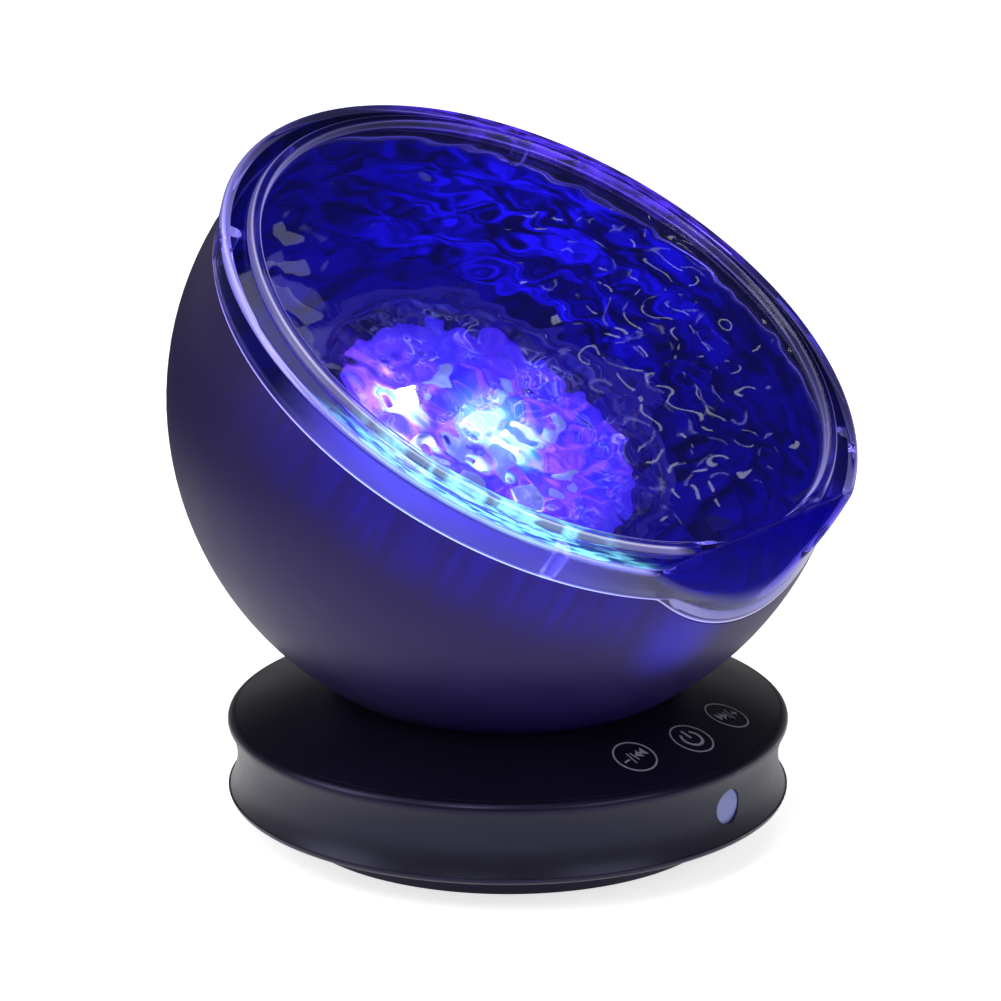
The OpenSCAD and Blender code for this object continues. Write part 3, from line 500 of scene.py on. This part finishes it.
bowlGlow = {  # places, ways and reaches in head millimetres
    "dark": "#1d1535", "light": "#231a3f", "rough": 0.46, "grain": 0.5, "bump": 0.25, "gleam": "#b9a2ff",
    "wall": (73.2, 73.8),  # radius where the inside ends and the outside begins
    # colours of the painted lamp light on the inside wall, and of its waves
    "deep": "#06027c", "blue": "#0b03b4", "bright": "#2414ff", "blueAt": 0.4,
    "farWall": (58, 40, -9), "farSpan": (5, 62), "wave": 13.333, "waveFlat": 3.2, "waveNoise": (0.38, 0.62),
    "tone": (0, 1.15), "level": (0.3, 1.15), "underDeck": (6, 3),
    # painted light outside: spill streaks under the skirt, a haze beside the lamps, a spot below the facet
    "outside": "#2112e6", "spill": 0.36, "spillWay": (-0.866, -0.5, 0), "spillDepth": 22,
    "spillSpan": (45, 75),
    "ray": 3.0303, "rayLong": 0.12, "rayNoise": (0.35, 0.7), "rayLevel": (0.4, 1),
    "paintedHaze": 0.032, "paintedHazeSpan": (0, 60), "paintedHazeHeight": (-56, -8),
    "spot": (-20, -72.3, -0.8), "spotReach": 17, "spotLevel": 0.34,
}


# ABS bowl, satin charcoal outside. Inside, lamp light is painted as blue waves, brightest on the far wall.
# Outside, a little painted light spills down from under the clear skirt in streaks, a painted haze of light
# lies on the side next to the lamps, and one soft painted spot of light lies below the facet.
def bowlFinishAndPaintedLight(glow):
    material, tree, shader = mouldedPlastic(
        "mouldedAbsCharcoal", glow["dark"], glow["light"], glow["rough"], glow["grain"], glow["bump"])
    head = headPlace(tree)
    height = addNode(tree, "SeparateXYZ", (head,), "Z")
    inside = around(tree, head, (0, 0, 0), glow["wall"])

    # painted lamp light inside: blue waves, brightest on the far wall
    near = around(tree, head, glow["farWall"], glow["farSpan"], ease="SMOOTHSTEP")
    flow = addNode(tree, "Mapping", {"Vector": head, "Scale": (1, 1, glow["waveFlat"])})
    waves = addNode(tree, "TexNoise", {
        "Vector": flow, "Scale": 1 / glow["wave"], "Detail": 5, "Distortion": 1.2})
    paintedRippleLight = addNode(tree, "MapRange", (waves, *glow["waveNoise"], *glow["tone"]))
    amount = addNode(tree, "Math", (near, paintedRippleLight), operation="MULTIPLY")
    blues = addNode(tree, "ValToRGB", (amount,))
    stops = blues.node.color_ramp.elements
    stops[0].color = hexColour(glow["deep"])
    stops[1].color = hexColour(glow["bright"])
    stops.new(glow["blueAt"]).color = hexColour(glow["blue"])
    # the painted light ends far below the deck
    lowest, full = (lamps["deckUnder"] - depth for depth in glow["underDeck"])
    above = addNode(tree, "MapRange", (height, lowest, full))
    wavy = addNode(tree, "MapRange", (waves, *glow["waveNoise"], *glow["level"]))
    inner = addNode(tree, "Math", (above, wavy), operation="MULTIPLY")

    # painted light outside: streaks below the rim on the lamp side, a haze beside it, a spot below the facet
    rim = coverSizes["rimH"]
    below = addNode(tree, "MapRange", (height, rim - glow["spillDepth"], rim),
                    interpolation_type="SMOOTHERSTEP")
    side = towards(tree, head, glow["spillWay"], glow["spillSpan"], ease="SMOOTHSTEP")
    combed = addNode(tree, "Mapping", {"Vector": head, "Scale": (1, 1, glow["rayLong"])})
    rays = addNode(tree, "TexNoise", {"Vector": combed, "Scale": 1 / glow["ray"], "Detail": 2})
    comb = addNode(tree, "MapRange", (rays, *glow["rayNoise"], *glow["rayLevel"]))
    edge = addNode(tree, "Math", (below, side), operation="MULTIPLY")
    spill = addNode(tree, "Math", (edge, comb), operation="MULTIPLY")
    spot = around(tree, head, glow["spot"], (0, glow["spotReach"]), (glow["spotLevel"], 0), "SMOOTHERSTEP")
    paintedHaze = towards(tree, head, glow["spillWay"], glow["paintedHazeSpan"], (0, glow["paintedHaze"]))
    raised = addNode(tree, "MapRange", (height, *glow["paintedHazeHeight"]))
    soft = addNode(tree, "Math", (paintedHaze, raised, spot), operation="MULTIPLY_ADD")
    outer = addNode(tree, "Math", (spill, glow["spill"], soft), operation="MULTIPLY_ADD")

    # inside, the gloss is tinted blue to go with the painted light
    feed(tree, shader, {
        "Specular Tint": addNode(
            tree, "Mix", {"Factor": inside, "A": glow["gleam"], "B": glow["blue"]}, data_type="RGBA"),
        "Emission Color": addNode(
            tree, "Mix", {"Factor": inside, "A": glow["outside"], "B": blues}, data_type="RGBA"),
        "Emission Strength": addNode(tree, "Mix", {"Factor": inside, "A": outer, "B": inner}),
    })
    return material


acrylic = {"ior": 1.49, "smear": 33.333, "noise": (0.35, 0.75)}  # smear in millimetres


# clear cast acrylic, polished: sharp reflections, a little duller in wide smears
def acrylicFinish(name, tint, rough):
    material, tree, shader = newMaterial(name)
    smears = addNode(tree, "TexNoise", {
        "Vector": partPlace(tree), "Scale": 1 / acrylic["smear"], "Detail": 3})
    polish = addNode(tree, "MapRange", (smears, *acrylic["noise"], rough / 2, rough))
    feed(tree, shader, {
        "Base Color": tint, "Roughness": polish, "IOR": acrylic["ior"], "Transmission Weight": 1})
    return material, tree, shader, polish


coverGlow = {  # ways in the head's axes, spans in millimetres along them
    # the dark, frosted and front tints are painted shade on one clear moulding
    "rough": 0.03, "clear": "#766ede", "window": "#c8c4ff", "dark": "#5a52b0",
    "frosted": "#5f52dc", "frost": 0.3, "skirtWay": (-0.72, -0.69, 0), "skirtSpan": (44, 54),
    "front": "#6c6a9c", "frontWay": (0, -1, 0), "frontSpan": (56, 66),
    # the facet: a painted-shade tint, blue-tinted reflections and a faint painted deep-blue glow
    "facet": "#2a20c4", "facetGleam": "#241aa8", "facetDeep": "#1206b0", "facetLevel": 0.15,
    # colours, spans and levels of the painted light at the edges, on the frosted skirt and along the flat
    "lampWay": (-0.866, -0.5, 0), "edge": "#dcd8ff", "edgeSpan": (-45, 42), "edgeLevels": (0.06, 0.85),
    "edgeHot": "#d4f6ff", "hotSpan": (60, 75), "skirt": "#5038f4", "skirtLevel": 0.1,
    "lane": "#84ecff", "laneSpan": (61, 73), "laneLevel": 2.3,
    "far": "#5a30ff", "farWay": (0.82, 0.57, 0), "farSpan": (54, 72), "farLevel": 1.1,
    "streakW": 1.1, "streakL": 6.0, "streakNoise": (0.42, 0.68), "streakLevels": (0.05, 1),
}


# light from the lamps is painted as running inside the clear wall and leaving at its edges, white next to
# the lamps. The skirt below the top is finely frosted on that side, so what lies behind it blurs, and it
# carries a soft painted glow. Below the facet it is tinted greyer, as painted shade, and has no painted
# glow;
# the facet is painted deep blue: a dark blue tint, blue-tinted reflections and a faint deep-blue glow.
def coverFinishAndPaintedLight(glow):
    material, tree, shader, polish = acrylicFinish("clearAcrylicCover", glow["clear"], glow["rough"])
    head = headPlace(tree)
    edge, frost, lane, window, facet = (
        addNode(tree, "Attribute", output="Fac", attribute_name=mark)
        for mark in ("edge", "frost", "lane", "window", "facet"))
    sector = towards(tree, head, glow["skirtWay"], glow["skirtSpan"])
    ahead = towards(tree, head, glow["frontWay"], glow["frontSpan"])
    frosted = addNode(tree, "Math", (frost, sector), operation="MULTIPLY")
    plain = addNode(tree, "Math", (frost, frosted), operation="SUBTRACT")
    pale = addNode(tree, "Math", (frosted, ahead), operation="MULTIPLY")
    # tints by region: the darker, bluer, greyer and deep blue ones are painted shade on one clear moulding
    tint = glow["clear"]
    regions = ((window, "window"), (facet, "facet"), (frosted, "frosted"), (plain, "dark"), (pale, "front"))
    for share, tone in regions:
        tint = addNode(tree, "Mix", {"Factor": share, "A": tint, "B": glow[tone]}, data_type="RGBA")

    # painted light leaving at the edges, white next to the lamps, and a soft painted glow on the frosted
    # skirt
    leaving = towards(tree, head, glow["lampWay"], glow["edgeSpan"], glow["edgeLevels"], "SMOOTHSTEP")
    hot = towards(tree, head, glow["lampWay"], glow["hotSpan"])
    white = addNode(tree, "Mix", {"Factor": hot, "A": glow["edge"], "B": glow["edgeHot"]}, data_type="RGBA")
    edgeTone = addNode(tree, "Mix", {"Factor": edge, "A": glow["skirt"], "B": white}, data_type="RGBA")
    glowing = addNode(tree, "Math", (frosted, pale), operation="SUBTRACT")
    soft = addNode(tree, "Math", (glowing, glow["skirtLevel"]), operation="MULTIPLY")
    edgeLight = addNode(tree, "Math", (edge, leaving, soft), operation="MULTIPLY_ADD")

    # streaks of painted lamp light along the flat between rib and edge: noise over (radius, arc length)
    axes = addNode(tree, "SeparateXYZ", (head,)).node.outputs
    reach = addNode(tree, "VectorMath", (head,), operation="LENGTH")
    turn = addNode(tree, "Math", (axes["Y"], axes["X"]), operation="ARCTAN2")
    shortened = coverSizes["ribR"] * glow["streakW"] / glow["streakL"]
    along = addNode(tree, "Math", (turn, shortened), operation="MULTIPLY")
    unrolled = addNode(tree, "CombineXYZ", {"X": reach, "Y": along})
    streaks = addNode(tree, "TexNoise", {
        "Vector": unrolled, "Scale": 1 / glow["streakW"], "Detail": 3, "Distortion": 0.4})
    bright = addNode(tree, "MapRange", (streaks, *glow["streakNoise"], *glow["streakLevels"]))
    nearSide = towards(tree, head, glow["lampWay"], glow["laneSpan"], (0, glow["laneLevel"]), "SMOOTHSTEP")
    farSide = towards(tree, head, glow["farWay"], glow["farSpan"], (0, glow["farLevel"]), "SMOOTHSTEP")
    sides = addNode(tree, "Math", (nearSide, farSide), operation="ADD")
    combed = addNode(tree, "Math", (sides, bright), operation="MULTIPLY")
    laneLight = addNode(tree, "Math", (combed, lane), operation="MULTIPLY")
    isFar = addNode(tree, "Math", (farSide, 0), operation="GREATER_THAN")
    laneTone = addNode(tree, "Mix", {"Factor": isFar, "A": glow["lane"], "B": glow["far"]}, data_type="RGBA")
    light = addNode(tree, "Math", (edgeLight, laneLight), operation="ADD")
    laneShare = addNode(tree, "Math", (laneLight, light), operation="DIVIDE")
    lightTone = addNode(tree, "Mix", {"Factor": laneShare, "A": edgeTone, "B": laneTone}, data_type="RGBA")

    # the facet gets blue-tinted reflections and a faint deep-blue painted glow, painted light and shade
    feed(tree, shader, {
        "Base Color": tint,
        "Roughness": addNode(tree, "Mix", {"Factor": frosted, "A": polish, "B": glow["frost"]}),
        "Specular Tint": addNode(
            tree, "Mix", {"Factor": facet, "A": "#ffffff", "B": glow["facetGleam"]}, data_type="RGBA"),
        "Emission Color": addNode(
            tree, "Mix", {"Factor": facet, "A": lightTone, "B": glow["facetDeep"]}, data_type="RGBA"),
        "Emission Strength": addNode(
            tree, "Math", (facet, glow["facetLevel"], light), operation="MULTIPLY_ADD"),
    })
    return material


discGlow = {  # pitch, gap and spans in millimetres
    # tint and roughness of the disc, then colours, levels and spans of its painted lamp light
    "tint": "#f4f2ff", "rough": 0.03, "pitch": 7.0, "thin": 0.02, "level": 1.9, "span": (12, 40),
    "gap": 11.111, "gapNoise": (0.44, 0.6), "cool": "#c8d8ff", "warm": "#b46cff",
    "paintedHaze": 0.55, "paintedHazeSpan": (8, 17),
}


# the turning disc carries painted lamp light in thin bright lines, as water gathers it: broken lines lie
# where a noise of the ripples' pitch crosses its middle value. A soft painted haze of lamp light lies in the
# middle of the disc, over the brightest lamp, the same at every turn of the disc.
def discFinishAndPaintedLight(glow):
    material, tree, shader = acrylicFinish("clearAcrylicDisc", glow["tint"], glow["rough"])[:3]
    head = headPlace(tree)
    # painted lamp light: thin broken bright lines, and a soft haze over the brightest lamp
    water = addNode(tree, "TexNoise", {
        "Vector": head, "Scale": 1 / glow["pitch"], "Detail": 2, "Distortion": 1.4})
    off = addNode(tree, "Math", (water, 0.5), operation="SUBTRACT")
    size = addNode(tree, "Math", (off,), operation="ABSOLUTE")
    crest = addNode(tree, "MapRange", (size, 0, glow["thin"], glow["level"], 0))
    gaps = addNode(tree, "TexNoise", {"Vector": head, "Scale": 1 / glow["gap"], "Detail": 1})
    broken = addNode(tree, "MapRange", (gaps, *glow["gapNoise"]))
    fall = around(tree, head, (0, 0, 0), glow["span"])
    lines = addNode(tree, "Math", (crest, broken), operation="MULTIPLY")
    level = addNode(tree, "Math", (lines, fall), operation="MULTIPLY")
    tone = addNode(tree, "Mix", {"Factor": broken, "A": glow["warm"], "B": glow["cool"]}, data_type="RGBA")
    paintedHaze = around(tree, head, (0, 0, 0), glow["paintedHazeSpan"], (glow["paintedHaze"], 0), "SMOOTHERSTEP")
    power = addNode(tree, "Math", (level, paintedHaze), operation="ADD")
    share = addNode(tree, "Math", (paintedHaze, power), operation="DIVIDE")
    feed(tree, shader, {
        "Emission Color": addNode(
            tree, "Mix", {"Factor": share, "A": tone, "B": lamps["bloom"]}, data_type="RGBA"),
        "Emission Strength": power,
    })
    return material


lampWash = {  # cloud, wave and edge in millimetres
    "rough": 0.5, "cloud": 9.0909, "cloudNoise": (0.36, 0.66), "lilacAt": 0.55, "wide": 0.5, "close": 6,
    "wave": 20.833, "waveTurn": 0.9, "waveFlat": 3, "waveNoise": (0.38, 0.64), "edge": (0.1, 1),
}


# parts round the lamps, with painted coloured light: deep blue far from the lamps, violet and pink clouds
# nearer, cyan-white next to a lamp. Dappled parts also carry the painted wavy shadows of the disc.
def finishWithPaintedLight(name, plain, reach, level, clouded=1, dappled=0):
    material, tree, shader = newMaterial(name)
    head = headPlace(tree)
    # painted light: a halo near each lamp, a coloured wash with clouds, and the painted wavy shadows of the
    # disc
    near = nearLamps(tree, head, reach)
    wash = nearLamps(tree, head, lamps["washReach"])
    clouds = addNode(tree, "TexNoise", {
        "Vector": head, "Scale": 1 / lampWash["cloud"], "Detail": 5, "Distortion": 1.6})
    cloudy = addNode(tree, "MapRange", (clouds, *lampWash["cloudNoise"], 0, clouded))
    hues = addNode(tree, "ValToRGB", (cloudy,))
    stops = hues.node.color_ramp.elements
    stops[0].color = hexColour(lamps["wash"])
    stops[1].color = hexColour(lamps["pink"])
    stops.new(lampWash["lilacAt"]).color = hexColour(lamps["lilac"])
    spread = addNode(tree, "Mix", {"Factor": wash, "A": lamps["wash"], "B": hues}, data_type="RGBA")

    wide = addNode(tree, "MapRange", (wash, 0, 1, level * lampWash["wide"], level))
    full = addNode(tree, "Math", (near, level * lampWash["close"], wide), operation="MULTIPLY_ADD")
    # the painted light ends below the deck
    height = addNode(tree, "SeparateXYZ", (head,), "Z")
    lowest, highest = lamps["deckUnder"] + lampWash["edge"][0], lamps["deckTop"] - lampWash["edge"][1]
    above = addNode(tree, "MapRange", (height, lowest, highest))
    seen = addNode(tree, "Math", (full, above), operation="MULTIPLY")
    drawn = addNode(tree, "Mapping", {
        "Vector": head, "Rotation": (0, 0, lampWash["waveTurn"]), "Scale": (1, lampWash["waveFlat"], 1)})
    waves = addNode(tree, "TexNoise", {
        "Vector": drawn, "Scale": 1 / lampWash["wave"], "Detail": 4, "Distortion": 0.8})
    dapple = addNode(tree, "MapRange", (waves, *lampWash["waveNoise"], 1 - dappled, 1))
    feed(tree, shader, {
        "Base Color": plain,
        "Roughness": lampWash["rough"],
        "Emission Color": addNode(
            tree, "Mix", {"Factor": near, "A": spread, "B": lamps["halo"]}, data_type="RGBA"),
        "Emission Strength": addNode(tree, "Math", (seen, dapple), operation="MULTIPLY"),
    })
    return material


# clear epoxy lamps: the lit ones burn out to cyan-white
def lampFinish(glow):
    material, tree, shader = newMaterial("lampEpoxy")
    near = nearLamps(tree, headPlace(tree), glow["coreReach"])
    feed(tree, shader, {
        "Base Color": glow["epoxy"],
        "Roughness": glow["rough"],
        "Emission Color": glow["core"],
        "Emission Strength": addNode(tree, "MapRange", (near, *glow["coreSpan"], *glow["coreLevels"])),
    })
    return material


toolMarks = {"pitch": 1.1111, "gloss": 0.08}  # pitch in millimetres


# turned, plated or stamped metal: marks of the tool in the gloss, drawn coarser than they are
def metalFinish(name, colour, rough):
    material, tree, shader = newMaterial(name)
    marks = addNode(tree, "TexNoise", {
        "Vector": partPlace(tree), "Scale": 1 / toolMarks["pitch"], "Detail": 2})
    duller, glossier = rough + toolMarks["gloss"], rough - toolMarks["gloss"]
    feed(tree, shader, {
        "Base Color": colour,
        "Roughness": addNode(tree, "MapRange", (marks, 0, 1, glossier, duller)),
        "Metallic": 1,
    })
    return material


# per slot: material, darker and lighter tone, roughness, grain in millimetres, bump, tint of the gloss
plastics = {
    "base_abs": ("mouldedAbsBlack", "#0a0914", "#0f0d1a", 0.33, 0.5, 0.12, "#b8b0f6"),  # satin, violet gloss
    "band_abs": ("mouldedAbsGrey", "#191922", "#20202a", 0.34, 0.5, 0.12, "#b0aedc"),  # satin, greyer
    "window_acrylic": ("frostedAcrylic", "#7a82c8", "#8a90d4", 0.22, 0.5, 0.05),  # milky, almost glossy
    "foot_rubber": ("siliconeRubber", "#101012", "#18181a", 0.75, 0.4, 0.3),  # dull black
    "cone_paper": ("pressedPaper", "#1b1a1a", "#262424", 0.8, 0.8, 0.5),  # dull and fibrous
    "magnet_ferrite": ("sinteredFerrite", "#2a2a2c", "#343438", 0.6, 0.4, 0.3),  # matt dark grey
    "loom_pvc": ("extrudedPvc", "#18181a", "#222226", 0.45, 0.6, 0.1),  # smooth black
    "circuit_board": ("glassEpoxyGreen", "#0f4a2a", "#17603a", 0.4, 0.5, 0.1),  # green, half glossy
    "chip_epoxy": ("mouldedEpoxyBlack", "#161618", "#202024", 0.5, 0.3, 0.3),  # matt black
    "jack_nylon": ("mouldedNylonBlack", "#121214", "#1a1a1c", 0.5, 0.4, 0.2),  # matt black
}
iconInk = ("padPrintedInk", "#7d7c8c", "#8e8c9c", 0.5, 0.4, 0.1)  # flat grey, duller than the base
# per slot: material, own tone, reach of a lamp's painted halo in millimetres, level of the painted light,
# share of painted clouds and of painted dapple
washed = {
    # the deck's near-black tone is painted shade; the light on these parts is painted
    "deck_abs": ("mouldedAbsDeck", "#0c0a2a", 15, 0.8, 0.5, 0.85),  # near black, so the light on it shows
    "lamp_board": ("solderMaskWhite", "#8a78c0", 9, 1.75),          # pale, washed by its lamps
    "reflector_abs": ("mouldedAbsWhite", "#8a78c0", 11, 1.75),      # the same, a little wider
    "gear_acetal": ("mouldedAcetal", "#5a52a8", 14, 0.3),           # dim, waxy
}
metals = {  # per slot: material, tone, roughness
    "motor_steel": ("zincPlatedSteel", "#b9bcc2", 0.35),   # bluish silver
    "screw_steel": ("nickelPlatedSteel", "#c4c4c8", 0.3),  # bright silver
    "speaker_steel": ("stampedSteel", "#8e9096", 0.42),    # dull grey
    "contact_brass": ("brassContact", "#c9a85a", 0.3),     # yellow
}
finishes = {
    "bowl_abs": bowlFinishAndPaintedLight(bowlGlow),
    "cover_acrylic": coverFinishAndPaintedLight(coverGlow),
    "lens_acrylic": acrylicFinish("clearAcrylicLens", coverGlow["window"], 0.02)[0],
    "disc_acrylic": discFinishAndPaintedLight(discGlow),
    "lamp_epoxy": lampFinish(lamps),
}
finishes.update({slot: mouldedPlastic(*row)[0] for slot, row in plastics.items()})
finishes.update({slot: finishWithPaintedLight(*row) for slot, row in washed.items()})
finishes.update({slot: metalFinish(*row) for slot, row in metals.items()})
for obj in nodes.values():
    for slot in obj.material_slots:
        slot.material = finishes[slot.material.name.split(".")[0]]
cover.data.materials.append(finishes["cover_acrylic"])
disc.data.materials.append(finishes["disc_acrylic"])
iconPiece.data.materials.append(mouldedPlastic(*iconInk)[0])
print("finishes set,", len(finishes), "slots")


stage = {  # metres from the middle of the floor
    "half": 3.0, "white": "#f4f4f4", "dim": "#3a3a44", "dimSpan": (0.16, 0.34),
    "fillSpan": (0.5, 1.6), "fill": (0.72, 1), "poolSpan": (0.1, 0.28), "pool": (0.55, 0.02),
    "sweepSpan": (0.03, 0.3), "sweep": (0.45, 0.03), "ambient": 0.2,
}


# a wide pale floor that keeps the shadow. To the camera it is lifted towards white, the more the further
# away, and in reflections it shows a painted pool of light round the object and painted shade further out.
def addFloor(spec):
    half = spec["half"]
    corners = [(-half, -half, 0), (half, -half, 0), (half, half, 0), (-half, half, 0)]
    mesh = bpy.data.meshes.new("floor")
    mesh.from_pydata(corners, [], [(0, 1, 2, 3)])
    floor = bpy.data.objects.new("floor", mesh)
    bpy.context.collection.objects.link(floor)
    material, tree, shader = newMaterial("paleFloor")
    path = addNode(tree, "LightPath").node.outputs
    place = addNode(tree, "TexCoord", output="Object")
    away = addNode(tree, "VectorMath", (place,), operation="LENGTH")
    far = addNode(tree, "MapRange", (away, *spec["dimSpan"]))
    shaded = addNode(tree, "Math", (path["Is Glossy Ray"], far), operation="MULTIPLY")
    pool = addNode(tree, "MapRange", (away, *spec["poolSpan"], *spec["pool"]))
    mirrored = addNode(tree, "Math", (path["Is Glossy Ray"], pool), operation="MULTIPLY")
    shown = addNode(tree, "Math", (path["Is Camera Ray"], mirrored), operation="MAXIMUM")
    fill = addNode(tree, "MapRange", (away, *spec["fillSpan"], *spec["fill"]))
    feed(tree, shader, {
        "Base Color": addNode(
            tree, "Mix", {"Factor": shaded, "A": spec["white"], "B": spec["dim"]}, data_type="RGBA"),
        "Roughness": 0.9,
        "Specular IOR Level": 0,
        "Emission Color": "#ffffff",
        "Emission Strength": addNode(tree, "Math", (shown, fill), operation="MULTIPLY"),
    })
    mesh.materials.append(material)


# a white sweep as the world. White is for what the camera sees straight or through the clear parts, not
# for light that has already bounced off something inside the head.
def addWorld(spec):
    world = bpy.data.worlds.new("studio")
    world.use_nodes = True
    bpy.context.scene.world = world
    tree = world.node_tree
    tree.nodes.clear()
    path = addNode(tree, "LightPath").node.outputs
    way = addNode(tree, "TexCoord", output="Generated")
    up = addNode(tree, "SeparateXYZ", (way,), "Z")
    sweep = addNode(tree, "MapRange", (up, *spec["sweepSpan"], *spec["sweep"]))
    bounced = addNode(tree, "Math", (path["Diffuse Depth"], path["Glossy Depth"]), operation="ADD")
    direct = addNode(tree, "Math", (bounced, 0.5), operation="LESS_THAN")
    through = addNode(tree, "Math", (path["Is Transmission Ray"], direct), operation="MULTIPLY")
    seen = addNode(tree, "Math", (path["Is Camera Ray"], through), operation="MAXIMUM")
    shiny = addNode(tree, "Mix", {"Factor": path["Is Glossy Ray"], "A": spec["ambient"], "B": sweep})
    level = addNode(tree, "Mix", {"Factor": seen, "A": shiny, "B": 1})
    light = addNode(tree, "Background", {"Color": "#ffffff", "Strength": level})
    addNode(tree, "OutputWorld", {"Surface": light})


lights = {  # where each soft box stands, what it looks at, its size in metres and its power in watts
    "leftBox": {"at": (-1.05, 0.75, 0.75), "to": (0, 0, 0.08), "size": (0.7, 1.0), "power": 8},
    "frontBox": {"at": (-0.25, -1.5, 0.9), "to": (0, 0, 0.05), "size": (1.0, 0.7), "power": 6},
    "keyBox": {"at": (-1.2, -0.4, 1.2), "to": (0, 0, 0.1), "size": (0.5, 0.5), "power": 6},
    "backBox": {
        "at": (0.569, -0.062, 0.87), "to": (-0.186, -0.069, 0.215), "size": (0.285, 0.26), "power": 0.2},
    "backStrip": {
        "at": (0.729, -0.023, 0.685), "to": (-0.026, -0.03, 0.03), "size": (0.06, 0.006), "power": 0.0024},
    "topBox": {"at": (-0.1, 0.0, 1.5), "to": (0, 0, 0), "size": (1.2, 1.2), "power": 7},
}


def addLights(spec):
    for name, box in spec.items():
        data = bpy.data.lights.new(name, "AREA")
        data.shape = "RECTANGLE"
        data.size, data.size_y = box["size"]
        data.energy = box["power"]
        lamp = bpy.data.objects.new(name, data)
        lamp.location = box["at"]
        lamp.rotation_euler = (Vector(box["to"]) - Vector(box["at"])).to_track_quat("-Z", "Y").to_euler()
        bpy.context.collection.objects.link(lamp)


addFloor(stage)
addWorld(stage)
addLights(lights)
bpy.context.scene.view_settings.view_transform = "Standard"
print("stage and lights set")
